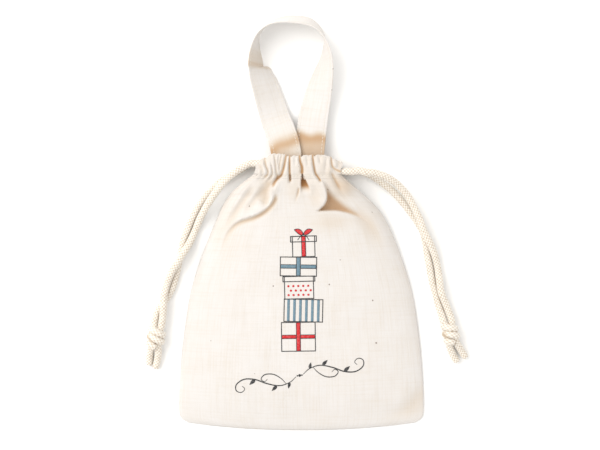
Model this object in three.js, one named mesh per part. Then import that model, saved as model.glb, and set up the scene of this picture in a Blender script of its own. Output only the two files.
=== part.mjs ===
// Drawstring gift pouch in cotton cloth, lying on its back with its neck drawn shut.
// Millimetres, +X across the pouch, +Y from its foot to its neck, +Z up from the surface it lies on.
// The origin is the middle of the back panel's outer face.
import * as THREE from 'three';

// Driving dimensions
const pouchWidth = 204.8; // side seam to side seam, the pouch laid flat
const footY = -112.3; // lowest point of the bottom seam
const neckTopY = 116.5; // fold at the top of the casing
const casingDepth = 19; // from the fold to the casing's stitching
const casingHalfLength = 35; // the gathered casing, centre to cord exit
const neckThickness = 25.6; // front casing, mouth and back casing together
const mouthGap = 6.4; // left between the two casings by the closed neck
const cloth = 1.2; // a layer of cloth with its folds
const cordRadius = 3;
const strapWidth = 25;
const strapThickness = 1.2;
const threadSize = 0.7;
const gap = 0.3; // between pieces that touch
const footDepth = 12; // height of the pouch's rounded foot corners

// Worked out from them
const casingFootY = neckTopY - casingDepth;
const casingMidY = (neckTopY + casingFootY) / 2;
const casingThickness = (neckThickness - mouthGap) / 2;
const backCasingZ = casingThickness / 2;
const frontCasingZ = neckThickness - casingThickness / 2;
const laneOffset = cordRadius + 0.2; // from the casing's middle line to each cord in it
const leftLaneY = casingMidY + laneOffset;
const rightLaneY = casingMidY - laneOffset;
const rimZ = cloth + gap; // underside of the front panel's edge

const cottonColor = 0xf1e9dc;
const cordColor = 0xf2ead8;
const threadColor = 0xefe6d2;
const inkColor = 0x5f6a6e;

const materials = {
  cotton: new THREE.MeshStandardMaterial({ color: cottonColor, roughness: 0.92, metalness: 0 }),
  cord: new THREE.MeshStandardMaterial({ color: cordColor, roughness: 0.95, metalness: 0 }),
  thread: new THREE.MeshStandardMaterial({ color: threadColor, roughness: 0.7, metalness: 0 }),
  ink: new THREE.MeshStandardMaterial({ color: inkColor, roughness: 0.8, metalness: 0 }),
};

const pouch = new THREE.Group();

function add(name, geometry, material) {
  const mesh = new THREE.Mesh(geometry, material);
  mesh.name = name;
  pouch.add(mesh);
  return mesh;
}

// A closed sheet from two matching grids of points, face[row][column] and back[row][column].
// Seen from outside the face, rows run up and columns run to the right.
function sheet(face, back) {
  const rows = face.length;
  const columns = face[0].length;
  const points = [...face.flat(), ...back.flat()];
  const index = [];
  const at = (layer, row, column) => layer * rows * columns + row * columns + column;
  const quad = (a, b, c, d) => index.push(a, b, c, a, c, d);
  for (let r = 0; r < rows - 1; r++) {
    for (let c = 0; c < columns - 1; c++) {
      quad(at(0, r, c), at(0, r, c + 1), at(0, r + 1, c + 1), at(0, r + 1, c));
      quad(at(1, r, c), at(1, r + 1, c), at(1, r + 1, c + 1), at(1, r, c + 1));
    }
  }
  for (let c = 0; c < columns - 1; c++) {
    quad(at(0, 0, c), at(1, 0, c), at(1, 0, c + 1), at(0, 0, c + 1));
    quad(at(0, rows - 1, c), at(0, rows - 1, c + 1), at(1, rows - 1, c + 1), at(1, rows - 1, c));
  }
  for (let r = 0; r < rows - 1; r++) {
    quad(at(0, r, 0), at(0, r + 1, 0), at(1, r + 1, 0), at(1, r, 0));
    quad(at(0, r, columns - 1), at(1, r, columns - 1), at(1, r + 1, columns - 1), at(0, r + 1, columns - 1));
  }
  return new THREE.BufferGeometry().setFromPoints(points).setIndex(index);
}

const steps = (count, from = 0, to = 1) =>
  Array.from({ length: count + 1 }, (_, i) => from + ((to - from) * i) / count);

// The pouch's outline: its half width at each height, from the rounded foot to the gathered neck.
const outline = new THREE.SplineCurve(
  [
    [95, footY],
    [100.4, footY + 4],
    [pouchWidth / 2, footY + footDepth],
    [101.6, -72],
    [98.6, -36],
    [92.6, 3],
    [82.6, 36],
    [68.4, 68],
    [51.5, 89],
    [casingHalfLength + 2, casingFootY - gap],
  ].map(([x, y]) => new THREE.Vector2(x, y)),
);

// How far the front panel stands over the back one along the pouch's middle line.
const swell = new THREE.SplineCurve(
  [
    [footY, cloth + 0.1],
    [footY + 8, 6.5],
    [-70, 12.5],
    [0, 17],
    [60, 21],
    [casingFootY - gap, neckThickness - rimZ],
  ].map(([y, z]) => new THREE.Vector2(y, z)),
);

// One coordinate of a curve where its other coordinate, which only rises, has a value.
const halvings = 30;
function curveValue(curve, along, of, value) {
  let low = 0;
  let high = 1;
  for (let i = 0; i < halvings; i++) {
    const middle = (low + high) / 2;
    if (curve.getPoint(middle)[along] < value) low = middle;
    else high = middle;
  }
  return curve.getPoint(low)[of];
}

const halfWidth = (y) => curveValue(outline, 'y', 'x', y);
const swellAt = (y) => curveValue(swell, 'x', 'y', y);

// The gathered threads fan out from the neck, so the foot of the pouch curves up to its corners.
const footLift = { height: 6.5, across: 2.2, up: 3 };
const bodyLength = casingFootY - gap - footY;
function bodyY(y, across) {
  const below = (casingFootY - gap - y) / bodyLength;
  return y + footLift.height * Math.abs(across) ** footLift.across * below ** footLift.up;
}

const bodyRows = [
  ...steps(4, footY, footY + footDepth),
  ...steps(12, footY + footDepth, casingFootY - gap).slice(1),
];

const domePower = 0.8; // below 1 the front is flatter on top than a circle
const rimDepth = 0.05; // least thickness left under the front panel's edge

// A point of the front panel. turn runs from 0 at the right edge to PI at the left one,
// and inset moves the point in from the outer face.
function frontPoint(y, turn, inset) {
  const across = Math.cos(turn);
  const x = (halfWidth(y) - inset) * across;
  const z = rimZ + Math.max(swellAt(y) - inset, rimDepth) * Math.sin(turn) ** domePower;
  return new THREE.Vector3(x, bodyY(y, across), z);
}

function frontPanel() {
  const turns = steps(18, Math.PI, 0);
  const grid = (inset) => bodyRows.map((y) => turns.map((turn) => frontPoint(y, turn, inset)));
  return sheet(grid(0), grid(cloth));
}

function backPanel() {
  const across = steps(8, -1, 1);
  const grid = (z) =>
    bodyRows.map((y) => across.map((u) => new THREE.Vector3(u * halfWidth(y), bodyY(y, u), z)));
  return sheet(grid(cloth), grid(0));
}

// The height of the front panel's outer face over a point of the surface.
function frontHeight(x, y) {
  const across = Math.min(Math.abs(x) / halfWidth(y), 1);
  return rimZ + swellAt(y) * Math.sin(Math.acos(across)) ** domePower;
}

// One hem turned down for the cords: a flat tunnel along X, open at both ends.
const channel = { depth: 14, height: 7.2, corner: 3 };
const casingCorner = 2.4;

function roundedBox(width, height, corner, Path) {
  const x = width / 2;
  const y = height / 2;
  const path = new Path();
  path.moveTo(-x + corner, -y);
  path.lineTo(x - corner, -y);
  path.absarc(x - corner, -y + corner, corner, -Math.PI / 2, 0);
  path.lineTo(x, y - corner);
  path.absarc(x - corner, y - corner, corner, 0, Math.PI / 2);
  path.lineTo(-x + corner, y);
  path.absarc(-x + corner, y - corner, corner, Math.PI / 2, Math.PI);
  path.lineTo(-x, -y + corner);
  path.absarc(-x + corner, -y + corner, corner, Math.PI, Math.PI * 1.5);
  return path;
}

function casing(z) {
  const section = roundedBox(casingDepth, casingThickness, casingCorner, THREE.Shape);
  section.holes.push(roundedBox(channel.depth, channel.height, channel.corner, THREE.Path));
  const geometry = new THREE.ExtrudeGeometry(section, {
    depth: 2 * casingHalfLength,
    bevelEnabled: false,
    curveSegments: 4,
    steps: 1,
  });
  const turn = new THREE.Matrix4().makeBasis(
    new THREE.Vector3(0, 1, 0),
    new THREE.Vector3(0, 0, 1),
    new THREE.Vector3(1, 0, 0),
  );
  geometry.applyMatrix4(turn);
  geometry.translate(-casingHalfLength, casingMidY, z);
  return geometry;
}

// The overlocked seam allowances, turned to the inside of the pouch.
const seam = { inset: 3.8, width: 6, thickness: 0.8, footClearance: 16, neckClearance: 12, half: 0.9 };

function sideSeam(side) {
  const rows = steps(12, footY + seam.footClearance, casingFootY - seam.neckClearance);
  const edges = side > 0 ? [seam.width, 0] : [0, seam.width];
  const grid = (z) =>
    rows.map((y) =>
      edges.map((e) => {
        const x = halfWidth(y) - seam.inset - e;
        return new THREE.Vector3(side * x, bodyY(y, x / halfWidth(y)), z);
      }),
    );
  return sheet(grid(rimZ + seam.thickness), grid(rimZ));
}

function bottomSeam() {
  const across = steps(12, -seam.half, seam.half);
  const grid = (z) =>
    [0, seam.width].map((e) =>
      across.map((u) => {
        const y = footY + seam.inset + e;
        return new THREE.Vector3((u * pouchWidth) / 2, bodyY(y, u), z);
      }),
    );
  return sheet(grid(rimZ + seam.thickness), grid(rimZ));
}

// A straight row of stitching.
function stitchRow(halfLength, x, y, z) {
  const geometry = new THREE.BoxGeometry(2 * halfLength, threadSize, threadSize);
  geometry.translate(x, y, z);
  return geometry;
}

// The ink lies on the front panel as a film over the area of each printed motif.
const inkFilm = 0.25;

function print(left, right, low, high) {
  const rows = steps(8, low, high);
  const columns = steps(6, left, right);
  const grid = (lift) =>
    rows.map((y) => columns.map((x) => new THREE.Vector3(x, y, frontHeight(x, y) + gap + lift)));
  return sheet(grid(inkFilm), grid(0));
}

// The strap is a flat tape. Each row of its route is a point of its outer edge and its roll in degrees:
// 0 is flat, -90 is on edge with the outer edge up, and past -90 that edge leans in over the loop.
const strapRoute = [
  [-25.1, neckTopY + 1.7, 13.9, 0],
  [-27.8, 129, 11.6, 0],
  [-31.2, 144, 8.2, -8],
  [-34.9, 157.5, 9.8, -21],
  [-38.9, 171, 14.3, -33],
  [-42.4, 182, 17.7, -43],
  [-43.7, 191, 20.3, -52],
  [-43.2, 199.5, 22.9, -63],
  [-41.2, 208, 24.6, -73],
  [-37.9, 215, 25.5, -84],
  [-32.4, 220.8, 25.7, -92],
  [-25, 224.7, 25.5, -98],
  [-14.6, 226.7, 25, -104],
  [-4, 226.9, 24.7, -106],
  [4.8, 225.6, 24.9, -104],
  [12, 221.9, 25.5, -97],
  [17.6, 216.2, 25.7, -91],
  [22, 208.6, 25.2, -80],
  [25, 199, 23.4, -66],
  [26, 188, 20.1, -51],
  [25.6, 175, 15.6, -36],
  [24, 161, 11.2, -23],
  [22, 147, 9.4, -12],
  [20.4, 133, 9.5, -3],
  [19, neckTopY + 1.7, 11.1, 0],
];
const strapEdge = new THREE.CatmullRomCurve3(strapRoute.map(([x, y, z]) => new THREE.Vector3(x, y, z)));
const strapRoll = new THREE.CatmullRomCurve3(strapRoute.map((row, i) => new THREE.Vector3(i, row[3], 0)));

// Edge point, direction across and direction off the face, at a share of the strap's length.
function strapFrame(share) {
  const edge = strapEdge.getPoint(share);
  const along = strapEdge.getTangent(share);
  const roll = THREE.MathUtils.degToRad(Math.min(strapRoll.getPoint(share).y, 0));
  const inward = new THREE.Vector3(along.y, -along.x, 0).normalize();
  const across = inward.multiplyScalar(Math.cos(roll)).add(new THREE.Vector3(0, 0, Math.sin(roll)));
  const off = new THREE.Vector3().crossVectors(across, along).normalize();
  return { edge, across, off };
}

// A strip along the strap, with its columns at distances from the outer edge, between two heights.
const strapRows = 64;
function strapStrip(distances, low, high) {
  const shares = steps(strapRows);
  const grid = (height) =>
    shares.map((share) => {
      const { edge, across, off } = strapFrame(share);
      return distances.map((distance) =>
        edge.clone().addScaledVector(across, distance).addScaledVector(off, height),
      );
    });
  return sheet(grid(high), grid(low));
}

const strapEndLength = 14;

function strapSewnEnd(outerX, innerX, z) {
  const geometry = new THREE.BoxGeometry(Math.abs(outerX - innerX), strapEndLength, strapThickness);
  geometry.translate((outerX + innerX) / 2, neckTopY - strapEndLength / 2, z);
  return geometry;
}

// A round cord along a curve.
function cord(curve, count, sides = 10) {
  const section = new THREE.Shape(
    steps(sides - 1, 0, (2 * Math.PI * (sides - 1)) / sides).map(
      (a) => new THREE.Vector2(cordRadius * Math.cos(a), cordRadius * Math.sin(a)),
    ),
  );
  return new THREE.ExtrudeGeometry(section, { steps: count, bevelEnabled: false, extrudePath: curve });
}

const point = (x, y, z) => new THREE.Vector3(x, y, z);

// Each drawstring is one cord: out of its exit, round both casings, and back out beside itself.
// side is -1 for the cord that leaves on the left and 1 for the one on the right.
const rootInside = 30; // how far the sliding stretch reaches into the casing
const straightOut = 8; // how far past its exit a cord stays straight
const bendClearance = { before: 3.4, after: 0.4, lead: 2 }; // along the cord from the axis of its swing

function drawstringLoop(side, laneY) {
  const start = side * (casingHalfLength - rootInside - gap);
  const end = -side * (casingHalfLength + 1);
  const bight = (frontCasingZ - backCasingZ) / 2; // radius of the turn from one casing to the other
  const middle = (frontCasingZ + backCasingZ) / 2;
  const turn = steps(8, 0, Math.PI).map((a) =>
    point(end - side * bight * Math.sin(a), laneY, middle + bight * Math.cos(a)),
  );
  const run = (z) => steps(4, start, end).map((x) => point(x, laneY, z));
  return new THREE.CatmullRomCurve3([
    ...run(frontCasingZ).slice(0, -1),
    ...turn,
    ...run(backCasingZ).slice(0, -1).reverse(),
  ]);
}

// The stretch from inside the casing to just short of the bend, straight until it is out.
function drawstringRoot({ side, laneY, bend, heading }, z) {
  const end = bend.clone().addScaledVector(heading, -bendClearance.before);
  const inside = steps(6, casingHalfLength - rootInside, casingHalfLength + straightOut);
  return new THREE.CatmullRomCurve3([
    ...inside.map((x) => point(side * x, laneY, z)),
    point(end.x, end.y, z),
  ]);
}

// The pair of tails on each side: the middle of the pair, and the turn of one about the other in degrees.
// At 90 the front tail lies on top of the back one, at 0 and 180 they lie side by side.
const leftPair = [
  [-58, 101.2, 84],
  [-66.5, 94.6, 62],
  [-74.4, 86, 40],
  [-81.4, 76.6, 22],
  [-87.2, 66.6, 8],
  [-91.8, 56.2, 2],
  [-95.8, 46, 24],
  [-99.4, 36.6, 68],
  [-103, 28, 96],
  [-106.4, 19.4, 126],
  [-109.4, 10.6, 142],
  [-112.6, 1.6, 122],
  [-115.6, -7, 76],
  [-118.2, -15.6, 30],
  [-119.6, -24, 10],
];
const rightPair = [
  [58.6, 101.8, 72],
  [68.4, 97.2, 36],
  [77.2, 91, 10],
  [85, 83, 18],
  [91.2, 74, 44],
  [97, 64.4, 66],
  [101.8, 54, 84],
  [105.6, 43.6, 60],
  [108.6, 33, 26],
  [110.8, 22.4, 8],
  [112.4, 12.4, 28],
  [114.4, 3, 48],
  [117.2, -6, 30],
  [120, -14, 8],
  [122, -21, 2],
];

const exitSettle = 0.42; // share of the tail over which the front cord comes down on the back one
const tailSpread = cordRadius + 0.25;
const knotClimb = { points: 2, height: 4 }; // over the last points, the pair climbs to the knot's middle

const smooth = (t) => THREE.MathUtils.smoothstep(t, 0, 1);

// The route of one tail of a pair. which is 1 for the tail from the front casing, -1 for the other.
function tail({ pair, bend, heading }, which) {
  const exitZ = which > 0 ? frontCasingZ : backCasingZ;
  const last = pair.length - 1;
  const points = pair.map(([x, y, degrees], i) => {
    const before = pair[Math.max(i - 1, 0)];
    const after = pair[Math.min(i + 1, last)];
    const along = new THREE.Vector2(after[0] - before[0], after[1] - before[1]).normalize();
    const turn = THREE.MathUtils.degToRad(degrees);
    const beside = which * tailSpread * Math.cos(turn);
    const settled = smooth((i + 1) / (exitSettle * pair.length));
    const laid = tailSpread * (1 + Math.sin(turn) + which * Math.sin(turn));
    const climb = knotClimb.height * smooth(1 - (last - i) / knotClimb.points);
    return point(x - along.y * beside, y + along.x * beside, exitZ + (laid - exitZ) * settled + climb);
  });
  const start = bend.clone().addScaledVector(heading, bendClearance.after);
  const lead = bend.clone().addScaledVector(heading, bendClearance.after + bendClearance.lead);
  return new THREE.CatmullRomCurve3([
    point(start.x, start.y, exitZ),
    point(lead.x, lead.y, exitZ),
    ...points,
  ]);
}

// The overhand knot that ties a pair together: a barrel between the last of the tails and the two ends.
const knot = { radius: 7.8, height: 7.9, endShare: 0.84, shoulder: 0.55, sides: 14 };

function knotBarrel(from, to) {
  const r = knot.radius;
  const half = from.distanceTo(to) / 2;
  const profile = [
    [0, -half],
    [r * knot.endShare, -half],
    [r, -half * knot.shoulder],
    [r, half * knot.shoulder],
    [r * knot.endShare, half],
    [0, half],
  ].map(([x, y]) => new THREE.Vector2(x, y));
  const geometry = new THREE.LatheGeometry(profile, knot.sides);
  const along = to.clone().sub(from).normalize();
  geometry.applyQuaternion(new THREE.Quaternion().setFromUnitVectors(point(0, 1, 0), along));
  const middle = from.clone().lerp(to, 0.5);
  return geometry.translate(middle.x, middle.y, middle.z);
}

// Each side's cord: its lane in the casings, where and which way it is going at the bend,
// where its knot starts and stops, and the routes of its two loose ends.
const drawstrings = {
  left: {
    side: -1,
    laneY: leftLaneY,
    bend: new THREE.Vector2(-51, 105.8),
    heading: new THREE.Vector2(-0.85, -0.53).normalize(),
    pair: leftPair,
    from: point(-119.9, -24.9, knot.height),
    to: point(-122.2, -43.4, knot.height),
    ends: [
      [point(-119.4, -45.6, 6.2), point(-120.2, -52.4, 4), point(-122, -60.4, 3.2)],
      [point(-125.8, -43.8, 5.6), point(-127, -50.8, 3.6), point(-127.4, -57.6, 3.2)],
    ],
  },
  right: {
    side: 1,
    laneY: rightLaneY,
    bend: new THREE.Vector2(51, 103.5),
    heading: new THREE.Vector2(0.97, -0.24).normalize(),
    pair: rightPair,
    from: point(122.3, -21.9, knot.height),
    to: point(126.4, -39.4, knot.height),
    ends: [
      [point(130.4, -40.4, 6.2), point(133.6, -45.6, 4), point(137.4, -51.4, 3.2)],
      [point(123.6, -41, 5.6), point(126.4, -48.6, 3.6), point(130.4, -55, 3.2)],
    ],
  },
};

function drawstring(name, plan) {
  const material = materials.cord;
  add(`${name}_drawstring_loop`, cord(drawstringLoop(plan.side, plan.laneY), 32), material);
  [
    ['front', frontCasingZ, 1],
    ['back', backCasingZ, -1],
  ].forEach(([face, z, which], i) => {
    add(`${name}_${face}_cord_root`, cord(drawstringRoot(plan, z), 7), material);
    add(`${name}_${face}_cord_tail`, cord(tail(plan, which), 36), material);
    add(`${name}_${face}_cord_end`, cord(new THREE.CatmullRomCurve3(plan.ends[i]), 5), material);
  });
  add(`${name}_knot`, knotBarrel(plan.from, plan.to), material);
}

// Cloth
add('front_panel', frontPanel(), materials.cotton);
add('back_panel', backPanel(), materials.cotton);
add('front_casing', casing(frontCasingZ), materials.cotton);
add('back_casing', casing(backCasingZ), materials.cotton);
add('left_side_seam', sideSeam(-1), materials.thread);
add('right_side_seam', sideSeam(1), materials.thread);
add('bottom_seam', bottomSeam(), materials.thread);

// Stitching of the casings: one row on the front, one on the inner face of the back
const stitchY = casingFootY + 2.7;
const stitchHalf = casingHalfLength - 1.5;
const onFace = gap + threadSize / 2;
add('front_casing_stitch', stitchRow(stitchHalf, 0, stitchY, neckThickness + onFace), materials.thread);
add('back_casing_stitch', stitchRow(stitchHalf, 0, stitchY, casingThickness + onFace), materials.thread);

// Carry strap, its two sewn ends and their stitching
const frontEnd = { outer: -25.1, inner: -0.1, z: neckThickness - casingThickness - gap - strapThickness / 2 };
const backEnd = { outer: 19, inner: -6, z: casingThickness + gap + strapThickness / 2 };
const hemLine = [2.2, 2.9];
const strapColumns = [0, ...hemLine, strapWidth];
const strapHigh = strapThickness / 2;
const stitchHigh = strapHigh + gap;
const stitchHeight = 0.4;
add('carry_strap', strapStrip(strapColumns, -strapHigh, strapHigh), materials.cotton);
add('strap_edge_stitch', strapStrip(hemLine, stitchHigh, stitchHigh + stitchHeight), materials.thread);
add('strap_front_end', strapSewnEnd(frontEnd.outer, frontEnd.inner, frontEnd.z), materials.cotton);
add('strap_back_end', strapSewnEnd(backEnd.outer, backEnd.inner, backEnd.z), materials.cotton);
const tackHalf = strapWidth / 2 - 2;
const tackFromEnd = 3.5;
const tackY = neckTopY - strapEndLength + tackFromEnd;
const tack = strapThickness / 2 + onFace;
add(
  'strap_front_tack',
  stitchRow(tackHalf, (frontEnd.outer + frontEnd.inner) / 2, tackY, frontEnd.z - tack),
  materials.thread,
);
add(
  'strap_back_tack',
  stitchRow(tackHalf, (backEnd.outer + backEnd.inner) / 2, tackY, backEnd.z + tack),
  materials.thread,
);

// Ink
add('printed_gift_stack', print(-21, 16, -52, 56), materials.ink);
add('printed_flourish', print(-60, 58, -84, -54.5), materials.ink);

Object.entries(drawstrings).forEach(([name, plan]) => drawstring(name, plan));

export default pouch;
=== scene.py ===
import bpy
import numpy as np
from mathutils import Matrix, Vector


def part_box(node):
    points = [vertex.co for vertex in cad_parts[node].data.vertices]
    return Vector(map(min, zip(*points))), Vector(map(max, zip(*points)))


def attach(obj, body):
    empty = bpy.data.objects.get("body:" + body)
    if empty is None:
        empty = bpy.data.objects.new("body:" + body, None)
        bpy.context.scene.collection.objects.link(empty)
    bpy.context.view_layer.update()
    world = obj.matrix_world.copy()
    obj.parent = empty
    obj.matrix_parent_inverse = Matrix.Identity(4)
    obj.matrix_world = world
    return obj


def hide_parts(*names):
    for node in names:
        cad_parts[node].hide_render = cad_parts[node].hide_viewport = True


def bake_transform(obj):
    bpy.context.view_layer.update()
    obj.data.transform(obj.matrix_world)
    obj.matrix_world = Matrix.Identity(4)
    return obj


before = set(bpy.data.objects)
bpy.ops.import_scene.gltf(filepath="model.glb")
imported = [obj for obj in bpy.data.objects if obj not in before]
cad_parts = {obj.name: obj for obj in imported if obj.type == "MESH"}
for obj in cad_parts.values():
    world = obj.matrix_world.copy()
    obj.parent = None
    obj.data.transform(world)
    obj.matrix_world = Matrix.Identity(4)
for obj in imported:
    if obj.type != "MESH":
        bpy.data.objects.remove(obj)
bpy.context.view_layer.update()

mm = 0.001


# shapes are worked out in millimetres and put into meshes in metres

def nodeBox(name):
    # a CAD node's lowest and highest corners
    low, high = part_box(name)
    return np.array(low) / mm, np.array(high) / mm


def smooth(low, high, x):
    # 0 below low, 1 above high, 3t^2 - 2t^3 between them
    t = np.clip((x - low) / (high - low), 0, 1)
    return t * t * (3 - 2 * t)


def through(points, count):
    # a smooth line through the points: on each stretch a cubic whose slope at a point is half the step
    # between that point's neighbours
    p = np.asarray(points, float)
    p = np.vstack([2 * p[0] - p[1], p, 2 * p[-1] - p[-2]])
    s = np.linspace(0, len(points) - 1, count)
    i = np.minimum(s.astype(int), len(points) - 2)
    t = (s - i)[:, None]
    a, b, c, d = p[i], p[i + 1], p[i + 2], p[i + 3]
    return 0.5 * (2 * b + (c - a) * t + (2 * a - 5 * b + 4 * c - d) * t**2 + (3 * b - a - 3 * c + d) * t**3)


def distances(line):
    # distance along a line at each of its points
    return np.concatenate([[0], np.cumsum(np.linalg.norm(np.diff(line, axis=0), axis=1))])


def evenly(line, step):
    # the same line with points one step apart
    along = distances(line)
    at = np.linspace(0, along[-1], max(2, int(round(along[-1] / step)) + 1))
    return np.stack([np.interp(at, along, line[:, k]) for k in range(line.shape[1])], axis=1)


def ripple(x, y, size, seed, count=9):
    # a sum of plane waves of about that length in random directions, about -1 to 1
    draw = np.random.default_rng(seed)
    turn = draw.uniform(0, 2 * np.pi, count)
    wave = size * draw.uniform(0.7, 1.6, count)
    phase = draw.uniform(0, 2 * np.pi, count)
    total = sum(
        np.sin(2 * np.pi * (x * np.cos(a) + y * np.sin(a)) / w + p) for a, w, p in zip(turn, wave, phase)
    )
    return total / np.sqrt(count) / 1.6


def gridFaces(rows, columns, wrapRows=False, wrapColumns=False):
    # quads between neighbouring points of a grid, facing +Z where rows go up and columns go right
    r = np.arange(rows if wrapRows else rows - 1)[:, None]
    c = np.arange(columns if wrapColumns else columns - 1)[None, :]
    nextR, nextC = (r + 1) % rows, (c + 1) % columns
    quads = [r * columns + c, r * columns + nextC, nextR * columns + nextC, nextR * columns + c]
    return np.stack([q + 0 * (r + c) for q in quads], axis=-1).reshape(-1, 4)


def makePiece(name, points, faces, coat, attributes=None):
    # one object from points in mm, its faces, its material and its point attributes
    mesh = bpy.data.meshes.new(name)
    faces = faces.tolist() if isinstance(faces, np.ndarray) else faces
    mesh.from_pydata((np.asarray(points, float) * mm).tolist(), [], faces)
    for key, values in (attributes or {}).items():
        values = np.asarray(values, np.float32)
        kind, field = ("FLOAT", "value") if values.ndim == 1 else ("FLOAT_VECTOR", "vector")
        mesh.attributes.new(key, kind, "POINT").data.foreach_set(field, values.ravel())
    mesh.polygons.foreach_set("use_smooth", [True] * len(mesh.polygons))
    mesh.materials.append(coat)
    piece = bpy.data.objects.new(name, mesh)
    bpy.context.scene.collection.objects.link(piece)
    return piece


def thicken(piece, thickness, offset=-1):
    # gives a skin its wall, kept inside its outer face, and makes the wall part of the mesh
    wall = piece.modifiers.new("wall", "SOLIDIFY")
    wall.thickness = thickness * mm
    wall.offset = offset
    wall.use_even_offset = False
    bpy.context.view_layer.update()
    made = bpy.data.meshes.new_from_object(piece.evaluated_get(bpy.context.evaluated_depsgraph_get()))
    piece.modifiers.clear()
    made.name = piece.data.name
    piece.data = made
    return piece


def frames(path):
    # a direction across a path and one square to it, carried along the path without twisting
    tangent = np.gradient(path, axis=0)
    tangent /= np.linalg.norm(tangent, axis=1)[:, None]
    across = np.empty_like(path)
    start = np.cross(tangent[0], [0.0, 0, 1])
    if np.linalg.norm(start) < 0.1:
        start = np.cross(tangent[0], [0.0, 1, 0])
    across[0] = start / np.linalg.norm(start)
    for i in range(1, len(path)):
        side = across[i - 1] - tangent[i] * (across[i - 1] @ tangent[i])
        across[i] = side / np.linalg.norm(side)
    return tangent, across, np.cross(across, tangent)


def tube(path, radius, sides, relief=None, taper=None):
    # rings of points round a path, radius * (1 + relief(angle, distance)) * taper(distance) from it, closed
    # by a point at each end
    _, across, up = frames(path)
    angle = np.linspace(0, 2 * np.pi, sides, endpoint=False)
    along = distances(path)
    size = np.full((len(path), sides), float(radius))
    if relief is not None:
        size = size * (1 + relief(angle[None, :], along[:, None]))
    if taper is not None:
        size = size * taper(along)[:, None]
    ring = np.cos(angle)[None, :, None] * across[:, None] + np.sin(angle)[None, :, None] * up[:, None]
    points = (path[:, None] + size[..., None] * ring).reshape(-1, 3)
    faces = gridFaces(len(path), sides, wrapColumns=True)[:, ::-1].tolist()
    first, last = len(points), len(points) + 1
    tip = (len(path) - 1) * sides
    faces += [[first, k, (k + 1) % sides][::-1] for k in range(sides)]
    faces += [[last, tip + (k + 1) % sides, tip + k][::-1] for k in range(sides)]
    points = np.vstack([points, path[:1], path[-1:]])
    cloth = np.stack(
        np.broadcast_arrays(angle[None, :] * radius * mm, along[:, None] * mm, 0 * angle[None, :]), axis=-1
    ).reshape(-1, 3)
    cloth = np.vstack([cloth, cloth[:1], cloth[-1:]])
    return points, faces, cloth


class Link:
    # a value in a material that can be used in sums, products and comparisons
    def __init__(self, made, socket):
        self.made, self.socket = made, socket

    def sum(self, kind, a, b=None):
        values = {0: a} if b is None else {0: a, 1: b}
        return self.made.node("ShaderNodeMath", {"operation": kind}, values)

    def __add__(self, other):
        return self.sum("ADD", self, other)

    def __radd__(self, other):
        return self.sum("ADD", other, self)

    def __sub__(self, other):
        return self.sum("SUBTRACT", self, other)

    def __rsub__(self, other):
        return self.sum("SUBTRACT", other, self)

    def __mul__(self, other):
        return self.sum("MULTIPLY", self, other)

    def __rmul__(self, other):
        return self.sum("MULTIPLY", other, self)

    def __truediv__(self, other):
        return self.sum("DIVIDE", self, other)

    def __gt__(self, other):
        return self.sum("GREATER_THAN", self, other)

    def sine(self):
        return self.sum("SINE", self)


class Coat:
    # a material, and the one method that adds nodes to it
    def __init__(self, name):
        self.material = bpy.data.materials.new(name)
        self.material.use_nodes = True
        self.tree = self.material.node_tree
        self.shader = next(n for n in self.tree.nodes if n.type == "BSDF_PRINCIPLED")

    def node(self, kind, settings=None, values=None, output=0):
        made = self.tree.nodes.new(kind)
        for key, value in (settings or {}).items():
            setattr(made, key, value)
        for key, value in (values or {}).items():
            self.plug(made.inputs[key], value)
        return Link(self, made.outputs[output])

    def plug(self, socket, value):
        if isinstance(value, Link):
            self.tree.links.new(value.socket, socket)
        else:
            socket.default_value = value

    def split(self, place):
        # the first two coordinates of a place
        parts = self.node("ShaderNodeSeparateXYZ", None, {0: place}).socket.node.outputs
        return Link(self, parts[0]), Link(self, parts[1])

    def attribute(self, name, output):
        return self.node("ShaderNodeAttribute", {"attribute_name": name}, output=output)

    def stretched(self, place, scale):
        # a place with its coordinates multiplied, for a pattern drawn out along one of them
        return self.node("ShaderNodeVectorMath", {"operation": "MULTIPLY"}, {0: place, 1: scale})

    def weave(self, place):
        # over and under threads: sine times sine, one thread wide
        x, y = self.split(place)
        turn = np.pi / cotton["threadPitch"]
        return (x * turn).sine() * (y * turn).sine()

    def noise(self, place, scale, detail=2.0, roughness=0.5):
        values = {"Vector": place, "Scale": scale, "Detail": detail, "Roughness": roughness}
        return self.node("ShaderNodeTexNoise", None, values)

    def mix(self, share, a, b):
        # a colour between a and b
        return self.node("ShaderNodeMix", {"data_type": "RGBA"}, {0: share, 6: a, 7: b}, output=2)

    def span(self, value, low, high, toLow=0.0, toHigh=1.0):
        # a value from low to high, moved to another range and held inside it
        values = {"Value": value, "From Min": low, "From Max": high, "To Min": toLow, "To Max": toHigh}
        return self.node("ShaderNodeMapRange", {"clamp": True}, values)

    def bump(self, height, distance, strength=1.0, normal=None):
        values = {"Height": height, "Distance": distance, "Strength": strength}
        if normal is not None:
            values["Normal"] = normal
        return self.node("ShaderNodeBump", None, values)

    def finish(self, colour, roughness, normal, **constants):
        # what varies is linked or set, and what is the same all over is set on the shader itself
        for key, value in {"Base Color": colour, "Roughness": roughness, "Normal": normal}.items():
            self.plug(self.shader.inputs[key], value)
        for key, value in constants.items():
            self.shader.inputs[key.replace("_", " ")].default_value = value
        return self.material


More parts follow.
